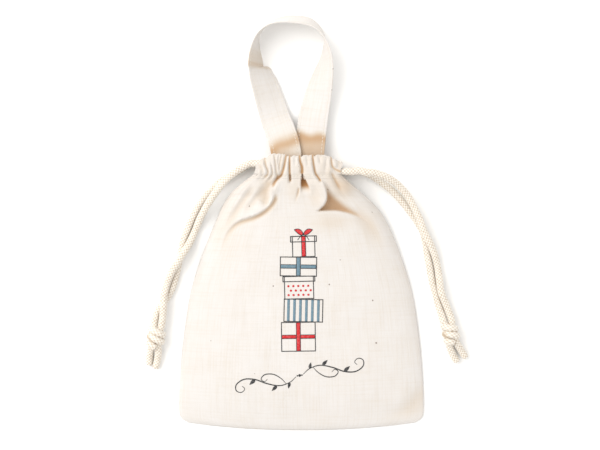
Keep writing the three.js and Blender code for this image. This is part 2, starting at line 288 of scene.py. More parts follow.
# colours are linear; lengths are in metres. lit is the cloth's own colour; shaded and deep are painted
# shade, the cloth's colour in shallow and in deep folds
cotton = {
    "lit": (0.68, 0.655, 0.635, 1),
    "streak": (0.62, 0.565, 0.5, 1),
    "shaded": (0.5, 0.33, 0.11, 1),
    "deep": (0.41, 0.2, 0.065, 1),
    "fleck": (0.12, 0.07, 0.04, 1),
    "threadPitch": 0.00052,
    "weaveDepth": 0.00007,
    "slubDepth": 0.00012,
    "fleckCell": 0.013,
    "fleckShare": 0.06,  # of the cells hold a fleck, whose radius is this part of a cell
    "fleckRadius": (0.028, 0.063),
}


def cottonCloth():
    coat = Coat("natural cotton cloth")
    place = coat.attribute("cloth", "Vector")
    weave = coat.weave(place)
    warpSlub = coat.noise(coat.stretched(place, (760, 30, 1)), 1.0, 4.0)
    weftSlub = coat.noise(coat.stretched(place, (26, 640, 1)), 1.0, 4.0)
    mottle = coat.noise(place, 42.0, 4.0)
    slubs = coat.span(warpSlub, 0.45, 0.75) + coat.span(weftSlub, 0.47, 0.78) * 0.8
    colour = coat.mix(slubs * 0.42 + coat.span(mottle, 0.35, 0.7) * 0.25, cotton["lit"], cotton["streak"])
    # painted shade: the cloth is coloured towards shaded and then deep where the mesh marks folds, pleats,
    # pockets and the tape's feet
    creaseShade = coat.attribute("creaseShade", "Fac")
    colour = coat.mix(creaseShade, colour, coat.mix(creaseShade, cotton["shaded"], cotton["deep"]))
    colour = coat.mix(flecks(coat, place) * 0.8, colour, cotton["fleck"])
    roughness = coat.span(mottle, 0.3, 0.7, 0.86, 0.96)
    normal = coat.bump(slubs, cotton["slubDepth"], 0.6)
    normal = coat.bump(weave, cotton["weaveDepth"], 0.5, normal)
    sheen = {"Sheen_Weight": 0.25, "Sheen_Roughness": 0.6, "Specular_IOR_Level": 0.25}
    return coat.finish(colour, roughness, normal, **sheen)


def flecks(coat, place):
    # specks of seed husk left in the cotton: a few cells of a flat pattern hold a small dot each
    look = {"voronoi_dimensions": "2D"}
    cells = coat.node("ShaderNodeTexVoronoi", look, {"Vector": place, "Scale": 1 / cotton["fleckCell"]})
    outputs = cells.socket.node.outputs
    pick = coat.node("ShaderNodeSeparateColor", None, {0: Link(coat, outputs["Color"])})
    smallest, largest = cotton["fleckRadius"]
    size = Link(coat, pick.socket.node.outputs[1]) * (largest - smallest) + smallest
    dot = coat.span(Link(coat, outputs["Distance"]) / size, 0.7, 1.1, 1.0, 0.0)
    return dot * (pick > 1 - cotton["fleckShare"])


# lit is the cord's own colour; the other colour is painted shade, for the braid's grooves and where cords
# touch
softCord = {
    "lit": (0.82, 0.785, 0.715, 1),
    "cordShade": (0.37, 0.225, 0.1, 1),
    "fibreDepth": 0.00022,
}


def braidedCotton():
    coat = Coat("soft braided cotton")
    place = coat.attribute("cloth", "Vector")
    fibres = coat.noise(coat.stretched(place, (900, 2600, 1)), 1.0, 4.0, 0.65)
    fuzz = coat.noise(place, 1500.0, 3.0)
    # painted shade in the braid's grooves and where cords touch, stronger in some noise patches than in
    # others
    cordShade = coat.attribute("cordShade", "Fac")
    shadePatches = coat.span(coat.noise(place, 260.0, 2.0), 0.4, 0.7)
    colour = coat.mix(cordShade * (0.6 + shadePatches * 0.4), softCord["lit"], softCord["cordShade"])
    normal = coat.bump(fibres + fuzz * 0.5, softCord["fibreDepth"], 0.8)
    roughness = coat.span(fuzz, 0.3, 0.7, 0.88, 0.98)
    sheen = {"Sheen_Weight": 0.5, "Sheen_Roughness": 0.5, "Specular_IOR_Level": 0.2}
    return coat.finish(colour, roughness, normal, **sheen)


thread = {
    "dark": (0.66, 0.61, 0.53, 1),
    "light": (0.78, 0.74, 0.67, 1),
    "alongPly": 9000,
    "aroundPly": 3000,
}


def sewingThread():
    coat = Coat("sewing thread")
    place = coat.attribute("cloth", "Vector")
    x, y = coat.split(place)
    ply = (y * thread["alongPly"] + x * thread["aroundPly"]).sine()
    # painted shade and highlight: the thread is coloured darker down between its plies and lighter on their
    # crests
    colour = coat.mix(coat.span(ply, -1, 1), thread["dark"], thread["light"])
    normal = coat.bump(ply, 0.00005, 0.7)
    roughness = coat.span(ply, -1, 1, 0.7, 0.8)
    return coat.finish(colour, roughness, normal, Sheen_Weight=0.2, Specular_IOR_Level=0.35)


def printingInk(name, ink):
    # water-based ink: the threads' tops take less of it, so the cloth shows through a little
    coat = Coat(name)
    place = coat.node("ShaderNodeTexCoord", None, None, "Object")
    weave = coat.weave(place)
    patchy = coat.span(coat.noise(place, 900.0, 3.0), 0.45, 0.75)
    bare = tuple(0.55 * a + 0.45 * b for a, b in zip(ink[:3], cotton["lit"])) + (1,)
    colour = coat.mix(patchy * 0.35 + coat.span(weave, 0.5, 1.0) * 0.15, ink, bare)
    normal = coat.bump(weave, cotton["weaveDepth"], 0.5)
    return coat.finish(colour, coat.span(patchy, 0, 1, 0.75, 0.9), normal, Specular_IOR_Level=0.25)


cloth = cottonCloth()
cordCoat = braidedCotton()
threadCoat = sewingThread()
inks = {
    "line": printingInk("charcoal ink", (0.03, 0.031, 0.034, 1)),
    "red": printingInk("red ink", (0.56, 0.02, 0.025, 1)),
    "blue": printingInk("blue-grey ink", (0.13, 0.22, 0.28, 1)),
}
print("materials made")


view = {"lens": 85, "wide": 498.0, "centre": (-1.2, 59.5), "level": 12.0}


def makeCamera():
    data = bpy.data.cameras.new("camera")
    data.lens = view["lens"]
    data.sensor_width = 36
    data.clip_start, data.clip_end = 0.05, 20
    camera = bpy.data.objects.new("camera", data)
    height = view["wide"] * view["lens"] / data.sensor_width + view["level"]
    camera.location = Vector((*view["centre"], height)) * mm
    bpy.context.scene.collection.objects.link(camera)
    bpy.context.scene.camera = camera


# lights are round and aim at one place; lengths in metres, the table's half width in millimetres
studio = {
    "room": (1.0, 0.985, 0.965, 1),
    "roomStrength": 1.07,
    "aim": (0, 0.05, 0),
    "lights": {
        "window": {"place": (-0.85, 0.5, 0.95), "size": 1.3, "power": 12.5, "colour": (1.0, 0.985, 0.96)},
        "reflector": {"place": (1.1, -0.3, 0.9), "size": 0.9, "power": 0.3, "colour": (0.97, 0.975, 1.0)},
    },
    "table": 3000,
}


def makeLight(name, plan):
    data = bpy.data.lights.new(name, "AREA")
    data.shape, data.size, data.energy, data.color = "DISK", plan["size"], plan["power"], plan["colour"]
    light = bpy.data.objects.new(name, data)
    light.location = plan["place"]
    light.rotation_mode = "QUATERNION"
    aim = Vector(studio["aim"]) - Vector(plan["place"])
    light.rotation_quaternion = aim.to_track_quat("-Z", "Y")
    bpy.context.scene.collection.objects.link(light)


def makeStudio():
    world = bpy.data.worlds.new("soft room")
    world.use_nodes = True
    background = world.node_tree.nodes["Background"].inputs
    background["Color"].default_value = studio["room"]
    background["Strength"].default_value = studio["roomStrength"]
    bpy.context.scene.world = world
    for name, plan in studio["lights"].items():
        makeLight(name, plan)
    far = studio["table"]
    corners = [(-far, -far, 0), (far, -far, 0), (far, far, 0), (-far, far, 0)]
    makePiece("table", corners, [[0, 1, 2, 3]], tableTop())
    bpy.context.scene.view_settings.view_transform = "Standard"


def tableTop():
    coat = Coat("white table")
    place = coat.node("ShaderNodeTexCoord", None, None, "Object")
    grain = coat.noise(place, 60.0, 3.0)
    colour = coat.mix(grain, (0.93, 0.93, 0.925, 1), (0.95, 0.95, 0.945, 1))
    return coat.finish(colour, coat.span(grain, 0.3, 0.7, 0.85, 0.95), coat.bump(grain, 0.0001, 0.2))


makeCamera()
makeStudio()
print("camera and studio made")


neckLow, neckHigh = nodeBox("front_casing")
backLow, backHigh = nodeBox("back_casing")
casingHalf = neckHigh[0]
neckTop, neckFoot = neckHigh[1], neckLow[1]
frontZ = (neckLow[2] + neckHigh[2]) / 2
backZ = (backLow[2] + backHigh[2]) / 2
cordRadius = 3.0

# each drawstring's side, the reach of its knot's wraps in millimetres, and in metres the bend outside the
# casing and the way it heads, the middle of the pair of tails with the turn of one cord about the other in
# degrees, the knot's two ends, and the two loose ends past it
drawstrings = {
    "left": {
        "side": -1,
        "wrap": 4.9,
        "bend": (-0.051, 0.1058),
        "heading": (-0.85, -0.53),
        "pair": [
            (-0.058, 0.1012, 84), (-0.0665, 0.0946, 62), (-0.0744, 0.086, 40), (-0.0814, 0.0766, 22),
            (-0.0872, 0.0666, 8), (-0.0918, 0.0562, 2), (-0.0958, 0.046, 24), (-0.0994, 0.0366, 68),
            (-0.103, 0.028, 96), (-0.1064, 0.0194, 126), (-0.1094, 0.0106, 142), (-0.1126, 0.0016, 122),
            (-0.1156, -0.007, 76), (-0.1182, -0.0156, 30), (-0.1196, -0.024, 10),
        ],
        "knot": [(-0.1199, -0.0249, 0.0079), (-0.1222, -0.0434, 0.0079)],
        "ends": [
            [(-0.1194, -0.0456, 0.0062), (-0.1202, -0.0524, 0.004), (-0.122, -0.0604, 0.0032)],
            [(-0.1258, -0.0438, 0.0056), (-0.127, -0.0508, 0.0036), (-0.1274, -0.0576, 0.0032)],
        ],
    },
    "right": {
        "side": 1,
        "wrap": 4.4,
        "bend": (0.051, 0.1035),
        "heading": (0.97, -0.24),
        "pair": [
            (0.0586, 0.1018, 72), (0.0684, 0.0972, 36), (0.0772, 0.091, 10), (0.085, 0.083, 18),
            (0.0912, 0.074, 44), (0.097, 0.0644, 66), (0.1018, 0.054, 84), (0.1056, 0.0436, 60),
            (0.1086, 0.033, 26), (0.1108, 0.0224, 8), (0.1124, 0.0124, 28), (0.1144, 0.003, 48),
            (0.1172, -0.006, 30), (0.12, -0.014, 8), (0.122, -0.021, 2),
        ],
        "knot": [(0.1223, -0.0219, 0.0079), (0.1264, -0.0394, 0.0079)],
        "ends": [
            [(0.1304, -0.0404, 0.0062), (0.1336, -0.0456, 0.004), (0.1374, -0.0514, 0.0032)],
            [(0.1236, -0.041, 0.0056), (0.1264, -0.0486, 0.0036), (0.1304, -0.055, 0.0032)],
        ],
    },
}
lay = {
    "inside": 26.0,  # the stretch in the casing's mouth
    "straight": 8.0,
    "settle": 0.42,  # the share of the pair over which it comes down onto the table
    "spread": 3.25,  # half the gap between the two cords' middles
    "climbPoints": 2,
    "climb": 4.0,  # up to the knot
    "core": 1.7,  # half that gap inside the knot
    "closing": 2.2,  # the length over which a cut end closes in
    "squeezed": 0.82,  # a cord's size inside the hem
}
braid = {
    "pairs": 6,
    "cell": 2.8,
    "depth": 0.17,
    "lumps": 0.035,
    "sides": 48,
    "step": 0.45,
    "shade": (0.2, 0.8),
    "touch": (1.4, -0.1),  # gaps between two cords from which the shade begins and where it is full
}


def braidHeight(angle, along):
    # two families of yarns wind round the cord in opposite directions, and the upper one of each crossing
    # shows as a rounded diamond, from 0 in the grooves to 1 on the yarns
    a = braid["pairs"] * angle / (2 * np.pi) + along / braid["cell"]
    b = braid["pairs"] * angle / (2 * np.pi) - along / braid["cell"]
    over = (np.floor(a) + np.floor(b)) % 2
    acrossA, acrossB = np.sin(np.pi * (a % 1)), np.sin(np.pi * (b % 1))
    return np.where(over > 0, acrossA**0.6 * acrossB**0.25, acrossB**0.6 * acrossA**0.25)


def softRelief(seed):
    # the braid's height and some soft lumps, as shares of the radius
    def relief(angle, along):
        lumps = ripple(along + 3 * np.cos(angle), 3 * np.sin(angle), 14, seed, 5)
        return braid["depth"] * (braidHeight(angle, along) - 0.7) + braid["lumps"] * lumps
    return relief


def strandRoute(plan, which):
    # out of the casing in its lane, round the bend, along its pair, through the knot and out to its end
    side, exitZ = plan["side"], (frontZ if which > 0 else backZ)
    laneLow, laneHigh = nodeBox(("left" if side < 0 else "right") + "_drawstring_loop")
    laneY = (laneLow[1] + laneHigh[1]) / 2
    outward = np.linspace(casingHalf - lay["inside"], casingHalf + lay["straight"], 6)
    inside = [(side * x, laneY, exitZ) for x in outward]
    bend, heading = np.array(plan["bend"]) / mm, np.array(plan["heading"])
    heading = heading / np.linalg.norm(heading)
    around = [(*(bend + heading * d), exitZ) for d in (-3.4, 2.4)]
    pair = np.array(plan["pair"])
    middle, turn = pair[:, :2] / mm, np.radians(pair[:, 2])
    last = len(pair) - 1
    number = np.arange(last + 1)
    step = middle[np.minimum(number + 1, last)] - middle[np.maximum(number - 1, 0)]
    step /= np.linalg.norm(step, axis=1)[:, None]
    beside = which * lay["spread"] * np.cos(turn)
    settled = smooth(0, 1, (number + 1) / (lay["settle"] * len(pair)))
    laid = lay["spread"] * (1 + np.sin(turn) + which * np.sin(turn))
    climb = lay["climb"] * smooth(0, 1, 1 - (last - number) / lay["climbPoints"])
    height = exitZ + (laid - exitZ) * settled + climb
    aside = np.column_stack([-step[:, 1], step[:, 0]]) * beside[:, None]
    tail = np.column_stack([middle + aside, height])
    start, stop = np.array(plan["knot"]) / mm
    along = (stop - start) / np.linalg.norm(stop - start)
    acrossKnot = np.array([-along[1], along[0], 0.0])
    core = [start + (stop - start) * t + acrossKnot * which * lay["core"] for t in (0.3, 0.75)]
    ends = np.array(plan["ends"][0 if which > 0 else 1]) / mm
    return evenly(through(np.vstack([inside, around, tail, core, ends]), 900), braid["step"])


def strandTaper(along):
    # squeezed by the hem up to its exit; the cut end's yarns close in over the last few millimetres by the
    # square root of a rising line
    left = np.clip((along[-1] - along) / lay["closing"], 0, 1)
    return (0.72 + 0.28 * np.sqrt(left)) * squeezed(lay["inside"] - 4, lay["inside"] + 1, along)


def squeezed(low, high, along):
    # a cord's share of its full size: less up to low, all of it past high
    return lay["squeezed"] + (1 - lay["squeezed"]) * smooth(low, high, along)


def contactShade(points, path, other):
    # how near each ring's points lie to the cord beside it, 1 where they touch. A cord is beside itself
    # where it comes round again, more than four radii on
    gap = np.linalg.norm(path[:, None] - other[None], axis=2)
    if other is path:
        row = np.arange(len(path))
        gap[np.abs(row[:, None] - row) * braid["step"] < 4 * cordRadius] = np.inf
    beside = np.repeat(other[gap.argmin(1)], braid["sides"], axis=0)
    clear = np.linalg.norm(points[: len(beside)] - beside, axis=1) - cordRadius
    return np.append(smooth(*braid["touch"], clear), [0, 0])


def grooveShade(place, radius):
    # how deep in the braid's grooves each point lies, from its place round and along the cord
    height = braidHeight(place[:, 0] / (radius * mm), place[:, 1] / mm)
    return smooth(*braid["shade"], 1 - height)


def makeCordPiece(name, path, seed, taper=None, other=None):
    points, faces, place = tube(path, cordRadius, braid["sides"], softRelief(seed), taper)
    # painted shade for the braid's grooves, and where this cord touches the one beside it
    cordShade = grooveShade(place, cordRadius)
    if other is not None:
        cordShade = np.maximum(cordShade, contactShade(points, path, other))
    return makePiece(name, points, faces, cordCoat, {"cloth": place, "cordShade": cordShade})


wraps = {
    "radius": 2.95,
    "turns": (-0.35, 2.55),  # half turns at which a wrap begins and ends
    "start": 1.6,  # how far along the knot the first wrap begins, and the next one after it
    "pitch": 5.6,
    "shorter": 8.6,
    "slant": 0.2,
    "shade": 0.8,
}


def knotWraps(name, plan, seed):
    # two cords side by side wound round the pair: a helix of one and a half turns whose ends dip inwards
    start, stop = np.array(plan["knot"]) / mm
    along = stop - start
    long = np.linalg.norm(along)
    along = along / long
    sideways = np.array([-along[1], along[0], 0.0])
    up = np.cross(along, sideways)
    routes, points, faces, places, grooves = [], [], [], [], []
    first, last = wraps["turns"]
    for lead in (0.0, wraps["pitch"]):
        turn = np.linspace(first * np.pi, last * np.pi, 150)
        share = (turn - turn[0]) / (turn[-1] - turn[0])
        reach = plan["wrap"] * (smooth(0, 0.16, share) * 0.55 + 0.45) * (1 - 0.55 * smooth(0.84, 1, share))
        aside, lift = -reach * np.cos(turn), reach * np.sin(turn)
        at = wraps["start"] + lead + (long - wraps["shorter"]) * share
        at = at + wraps["slant"] * aside * smooth(-2, 3, lift)
        route = start + along * at[:, None] + sideways * aside[:, None] + up * lift[:, None]
        routes.append(evenly(route, braid["step"]))
    for k, route in enumerate(routes):
        made, quads, place = tube(route, wraps["radius"], braid["sides"], softRelief(seed + k))
        base = sum(len(p) for p in points)
        faces += [[base + i for i in face] for face in quads]
        # painted shade for the grooves, and where a wrap touches itself or the other wrap
        cordShade = wraps["shade"] * grooveShade(place, wraps["radius"])
        for other in routes:
            cordShade = np.maximum(cordShade, contactShade(made, route, other))
        points.append(made)
        places.append(place)
        grooves.append(cordShade)
    extra = {"cloth": np.vstack(places), "cordShade": np.concatenate(grooves)}
    return makePiece(name, np.vstack(points), faces, cordCoat, extra)


def makeDrawstring(name, plan, seed):
    # the knot, and the two strands that run from the casing's mouth through it
    slide, tails = f"{name}_drawstring", f"{name}_tails"
    knot = knotWraps(f"{name}_overhand_knot", plan, seed + 7)
    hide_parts(f"{name}_knot")
    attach(knot, tails)
    routes = {which: strandRoute(plan, which) for which in (1, -1)}
    for which, face in ((1, "front"), (-1, "back")):
        path = routes[which]
        strand = makeCordPiece(f"{name}_{face}_cord", path, seed + which, strandTaper, routes[-which])
        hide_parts(*(f"{name}_{face}_cord_{part}" for part in ("root", "tail", "end")))
        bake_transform(strand)
        plan["side"] * casingHalf * mm
        print(f"{name} {face} cord {distances(path)[-1]:.0f} mm")


def makeLoop(name, plan, seed):
    # the stretch that stays in the casings: along the front one, round the far side seam and back along the
    # back one, turning at the seam with two quarter circles
    side, turn = plan["side"], 4.6  # the radius of its quarter circles
    low, high = nodeBox(f"{name}_drawstring_loop")
    laneY = (low[1] + high[1]) / 2
    near, far = side * (casingHalf - 31), -side * (casingHalf - 8)
    quarter = np.linspace(0, np.pi / 2, 6)
    route = [(x, laneY, frontZ) for x in np.linspace(near, far, 6)[:-1]]
    route += [(far - side * turn * np.sin(a), laneY, frontZ - turn * (1 - np.cos(a))) for a in quarter]
    route += [(far - side * turn * np.cos(a), laneY, backZ + turn * (1 - np.sin(a))) for a in quarter]
    route += [(x, laneY, backZ) for x in np.linspace(far, near, 6)[1:]]
    path = evenly(through(route, 700), braid["step"])
    loop = makeCordPiece(f"{name}_cord_in_casing", path, seed, lambda along: 0 * along + lay["squeezed"])
    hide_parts(f"{name}_drawstring_loop")
    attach(loop, "pouch")


for number, (name, plan) in enumerate(drawstrings.items()):
    makeDrawstring(name, plan, 20 + 10 * number)
    makeLoop(name, plan, 60 + 10 * number)
print("drawstrings made")


# one height function gives the front panel, the front hem and what lies on them
panelLow, panelHigh = nodeBox("front_panel")
footY = panelLow[1]

pouch = {
    "rows": 230,
    "columns": 215,
    "thickness": 0.5,
    "lift": 6.5,  # how far the foot's corners curve up
    "edge": 2.6,  # how square the front is across its width, and how much squarer its gathered neck
    "hemEdge": 9.0,
    "sway": (-4.4, 92.0, 19.0),  # sideways shift of the neck, and the height and reach of it
    "stitchRise": 2.7,  # the hem's stitching above its foot
    "overCords": 3.6,  # the lowest the hem's face may lie above a cord's middle
    "cut": (0.2048, 0.2508),  # one panel's cloth, laid flat, in metres
    "flatHalf": 102.4,  # half of its width, in millimetres
}
hemPlan = {
    "columns": 300,
    "rows": 46,
    "backFold": 1.6,  # how much lower the back hem folds over
    "turned": 22.0,  # the cloth turned over, from the stitching to the fold
    "depth": 4.3,  # from the cords' middle to the hem's inner face
    "narrowing": 0.13,  # of the inner half over the cords
    "backPleat": 0.7,  # the share of the back's pleats in its hem, and its height over the table
    "backFace": 0.35,
}

# half width of the pouch at each height, from its rounded foot to the gathered neck and its hem
outline = through(
    [
        (95, footY), (100.4, footY + 4), (panelHigh[0], footY + 12), (101.6, -72), (98.6, -36), (92.6, 3),
        (82.4, 36), (71.0, 63), (63.0, 76.6), (54.0, 86.8), (47.0, 92.6), (41.0, neckFoot), (36.4, 101.5),
        (35.2, 105), (35.8, 110), (35.4, neckTop + 4),
    ],
    600,
)
# height of the front's middle line, and of the side seams, at each height up the pouch
crown = through(
    [
        (footY, 1.0), (footY + 8, 5.0), (-72, 10.5), (0, 14.5), (60, 20.0), (88, 24.2), (neckFoot, 25.4),
        (neckFoot + 7, 26.8), (neckTop + 4, 26.4),
    ],
    300,
)
seamRise = through(
    [
        (footY, 0.9), (-40, 1.2), (20, 1.6), (60, 4), (85, 9), (neckFoot, 12), (neckTop, 12.8),
        (neckTop + 4, 12.8),
    ],
    300,
)
# the hem's fold, from the left cords to the right ones
hemTop = through(
    [
        (-39, 111.6), (-35, 113.6), (-30, 116.0), (-25, 118.2), (-18, 118.4), (-9, 117.2), (0, 117.0),
        (10, 117.5), (19, 117.2), (24.5, 114.8), (30, 111.9), (35, 110.4), (39, 109.2),
    ],
    200,
)

# pleats of the drawn-up neck: a narrow valley along a path, its depth and half width, and the shares of
# the path over which it comes in and runs out
pleats = [
    ([(-37, 111), (-34, 107.5), (-31.8, 103), (-33.4, 98.5), (-40, 92)], 1.7, 1.2, 0.2, 0.4),
    ([(-30.6, 117), (-29.4, 109), (-27.4, 103), (-29.8, 98.8), (-35, 93)], 2.4, 1.0, 0, 0.35),
    ([(-25.4, 114), (-24.2, 106), (-23.8, 102), (-25.8, 98), (-29.5, 93.5)], 2.1, 0.8, 0.3, 0.35),
    ([(-22.6, 120), (-21.4, 110), (-20.7, 103), (-19.8, 99.5), (-22, 96)], 2.0, 0.8, 0, 0.35),
    ([(-18.0, 120), (-19, 112), (-19.6, 107)], 1.4, 0.7, 0, 0.4),
    ([(-15.6, 120), (-17.2, 112), (-18, 106), (-17.4, 101)], 1.8, 0.8, 0, 0.35),
    (
        [(-12.2, 120), (-13.8, 110), (-15.4, 103.5), (-17, 100), (-20.4, 96.8), (-23, 92.5), (-25.2, 87)],
        3.4, 1.15, 0, 0.2,
    ),
    ([(-9.6, 120), (-9.8, 110), (-9.7, 103), (-9.3, 97.5), (-9.6, 92.5)], 4.0, 0.8, 0, 0.25),
    ([(-5.8, 120), (-5.2, 112), (-5, 107)], 1.0, 0.8, 0, 0.5),
    ([(-1.8, 120), (-1.2, 112.5), (0.2, 108), (0.6, 104.5), (0.3, 101)], 4.0, 0.95, 0, 0.1),
    ([(4.4, 120), (4.8, 112), (5.6, 106)], 1.1, 0.8, 0, 0.5),
    ([(9.0, 120), (9.6, 112), (10.4, 107), (11.6, 101.8), (14.4, 97.6), (17, 93.4)], 3.4, 0.9, 0, 0.15),
    ([(14.5, 119), (14.9, 113), (16.4, 109)], 1.4, 0.8, 0, 0.5),
    ([(20.5, 119), (20.4, 111), (19.8, 104), (20.6, 98)], 1.2, 1.3, 0, 0.5),
    ([(24.2, 117), (24.8, 110), (26.4, 106.4), (30.4, 104), (36, 102)], 2.8, 1.0, 0, 0.2),
    ([(24.4, 105), (25.4, 101), (27.4, 97), (30.4, 91.5), (34, 86), (38, 80)], 2.2, 1.7, 0.2, 0.45),
    ([(30, 114.5), (31, 108), (35, 104.5)], 1.7, 1.1, 0, 0.4),
]

# folds of the front: the cloth's ridge along a path falls softly behind it and sharply ahead of it, into a
# hollow. Ahead is the left of the path as it runs, or the right where side is -1. The last number is
# painted
# shade: how much darker the cloth is coloured down in the hollow.
folds = [
    {
        "path": [(-19, 97.5), (-22.6, 92), (-24.8, 86.5), (-24.6, 81), (-26.4, 75), (-31, 70)], "side": -1,
        "ridge": 1.9, "soft": 5.0, "sharp": 1.4, "hollow": 2.4, "wide": 5.4,
        "fade": (0.25, 0.3), "paintedShade": 0.3,
    },
    {
        "path": [
            (-22.8, 86.5), (-24.2, 80.6), (-28, 75.2), (-33.8, 70.6), (-40.6, 67.2), (-53, 62.8),
            (-61.5, 55), (-66.5, 44), (-68, 31),
        ],
        "side": 1,
        "ridge": 1.1, "soft": 5.0, "sharp": 1.1, "hollow": 2.0, "wide": 2.2,
        "fade": (0.12, 0.62), "paintedShade": 0.6,
    },
    {
        "path": [
            (11, 105), (12.6, 100), (15.6, 96.6), (18.4, 92), (20.2, 86.5), (20.4, 80.5), (17.4, 75),
            (11, 70),
        ],
        "side": 1,
        "ridge": 3.2, "soft": 7.0, "sharp": 1.0, "hollow": 0.0, "wide": 4.0,
        "fade": (0.3, 0.25), "paintedShade": 0,
    },
    {
        "path": [(5.0, 97), (7.2, 90), (8.6, 83)], "side": -1,
        "ridge": 1.3, "soft": 3.0, "sharp": 2.6, "hollow": 0.0, "wide": 3.0,
        "fade": (0.4, 0.5), "paintedShade": 0,
    },
    {
        "path": [(-0.8, 91), (-1.4, 86.5), (-2.8, 81.5), (-4.6, 76)], "side": -1,
        "ridge": 0.3, "soft": 3.0, "sharp": 0.7, "hollow": 1.0, "wide": 1.0,
        "fade": (0.2, 0.7), "paintedShade": 0.4,
    },
    {
        "path": [(-40, 96), (-47, 87.5), (-55, 77), (-63, 65), (-69, 53)], "side": 1,
        "ridge": 0.7, "soft": 5.0, "sharp": 2.6, "hollow": 1.5, "wide": 3.4,
        "fade": (0.3, 0.5), "paintedShade": 0.22,
    },
    {
        "path": [(-31, 95), (-38, 87), (-45.5, 78), (-52, 70)], "side": 1,
        "ridge": 0.5, "soft": 4.0, "sharp": 2.4, "hollow": 1.2, "wide": 3.2,
        "fade": (0.3, 0.5), "paintedShade": 0.2,
    },
    {
        "path": [(44, 84), (53, 76), (62, 65), (69, 52), (75, 36)], "side": -1,
        "ridge": 0.5, "soft": 7.0, "sharp": 5.0, "hollow": 1.0, "wide": 6.0,
        "fade": (0.4, 0.5), "paintedShade": 0.15,
    },
    {
        "path": [(98, -66), (90, -80), (78, -88), (62, -90)], "side": 1,
        "ridge": 0.6, "soft": 9.0, "sharp": 6.0, "hollow": 1.0, "wide": 9.0,
        "fade": (0.3, 0.6), "paintedShade": 0.18,
    },
]

# pockets between folds, each with painted shade down in it: each edge is a path, the width of its slope and
# the side on which the pocket lies
pockets = [
    {
        "depth": 6.6,
        "paintedShade": 0.97,
        "edges": [
            ([(0.4, 104), (-0.5, 100), (-0.9, 95), (-0.9, 90), (-0.6, 80)], 1.1, 1),
            ([(0.1, 104), (2.2, 100), (4.3, 96), (6.3, 92), (9.6, 84)], 1.1, -1),
            ([(-4, 84.5), (11, 84.5)], 13.0, 1),
        ],
    },
    {
        "depth": 5.2,
        "paintedShade": 0.75,
        "edges": [
            (
                [(13, 101), (15.6, 96.6), (18.4, 92), (20.2, 86.5), (20.4, 80.5), (17.4, 75), (11, 70)],
                1.2, 1,
            ),
            ([(11, 70), (20, 70.2), (29, 70.2), (38, 68.2), (47, 64.6), (55, 58.6), (61, 50)], 3.0, 1),
            (
                [
                    (16, 101), (21.4, 94.6), (27.4, 88.6), (34, 82.8), (42, 77), (51, 70), (59.4, 60.8),
                    (65, 51),
                ],
                11.0, -1,
            ),
            ([(70, 76), (54, 44)], 20.0, -1),
            ([(8, 97.5), (60, 97.5)], 6.0, -1),
        ],
    },
]

# painted warm shade where light reaches the front only through the cloth: the middle, the reach and how
# much
warmShadePlaces = [
    ((34, 90), (9, 10), 0.32),
    ((25, 62), (17, 7), 0.21),
    ((11, 81), (7, 8), 0.18),
    ((-6, 86), (6, 9), 0.13),
    ((-62, 58), (10, 24), 0.1),
    ((58, 58), (12, 16), 0.1),
]


def pathDistance(x, y, path, reach):
    # signed distance from a path, positive on its left as it runs, the share of the path at the nearest
    # point, and which of the points are within reach of it
    line = through(path, 60)
    tangent = np.gradient(line, axis=0)
    tangent /= np.linalg.norm(tangent, axis=1)[:, None]
    place = np.column_stack([x.ravel(), y.ravel()])
    near = np.flatnonzero(((place > line.min(0) - reach) & (place < line.max(0) + reach)).all(axis=1))
    gap = place[near, None] - line[None]
    nearest = (gap**2).sum(-1).argmin(1)
    off, way = gap[np.arange(len(near)), nearest], tangent[nearest]
    side = np.sign(way[:, 0] * off[:, 1] - way[:, 1] * off[:, 0])
    return np.linalg.norm(off, axis=1) * side, nearest / (len(line) - 1), near


def faded(share, start, stop):
    fadeIn = smooth(0, start, share) if start > 0 else 1.0
    return fadeIn * (1 - smooth(1 - stop, 1, share))


def pleatDepth(x, y):
    # a bell across each pleat's path, depth * exp(-(s / width)^2)
    total = np.zeros(x.size)
    for path, depth, width, start, stop in pleats:
        s, share, near = pathDistance(x, y, path, 5 * width)
        total[near] += depth * np.exp(-((s / width / (1 + 0.6 * share)) ** 2)) * faded(share, start, stop)
    return total.reshape(x.shape)


def foldHeight(x, y, fold):
    # behind the path a bell of the ridge's height; ahead of it a narrower bell, less a wide one, the hollow
    s, share, near = pathDistance(x, y, fold["path"], 3 * max(fold["soft"], fold["wide"]))
    s = s * fold["side"]
    strength = faded(share, *fold["fade"])
    ridge = fold["ridge"] * np.exp(-((s / np.where(s < 0, fold["soft"], fold["sharp"])) ** 2))
    centre = fold["sharp"] + 0.5 * fold["wide"]
    bell = np.exp(-((np.maximum(s - centre, 0) / fold["wide"]) ** 2))
    hollow = fold["hollow"] * smooth(0, centre, s) * bell
    height, dark = np.zeros(x.size), np.zeros(x.size)
    height[near] = strength * (ridge - hollow)
    # painted shade in the hollow, full where the hollow is deepest
    dark[near] = strength * hollow / max(fold["hollow"], 0.1) * fold["paintedShade"]
    return height.reshape(x.shape), dark.reshape(x.shape)


def pocketDepth(x, y, pocket):
    # the product of the slopes that lead in from each of its edges
    depth = np.full(x.size, float(pocket["depth"]))
    for path, width, side in pocket["edges"]:
        s, _, near = pathDistance(x, y, path, 60)
        inside = np.zeros(x.size)
        inside[near] = smooth(0, width, s * side)
        depth *= inside
    return depth.reshape(x.shape)


def halfWidth(y):
    # half the pouch's width at a height
    return np.interp(y, outline[:, 1], outline[:, 0])


def acrossAt(u, w):
    # x of a share u of the half width: the neck sways sideways by a bell, shift * exp(-(gap / reach)^2)
    shift, height, reach = pouch["sway"]
    return u * halfWidth(w) + shift * np.exp(-(((w - height) / reach) ** 2))


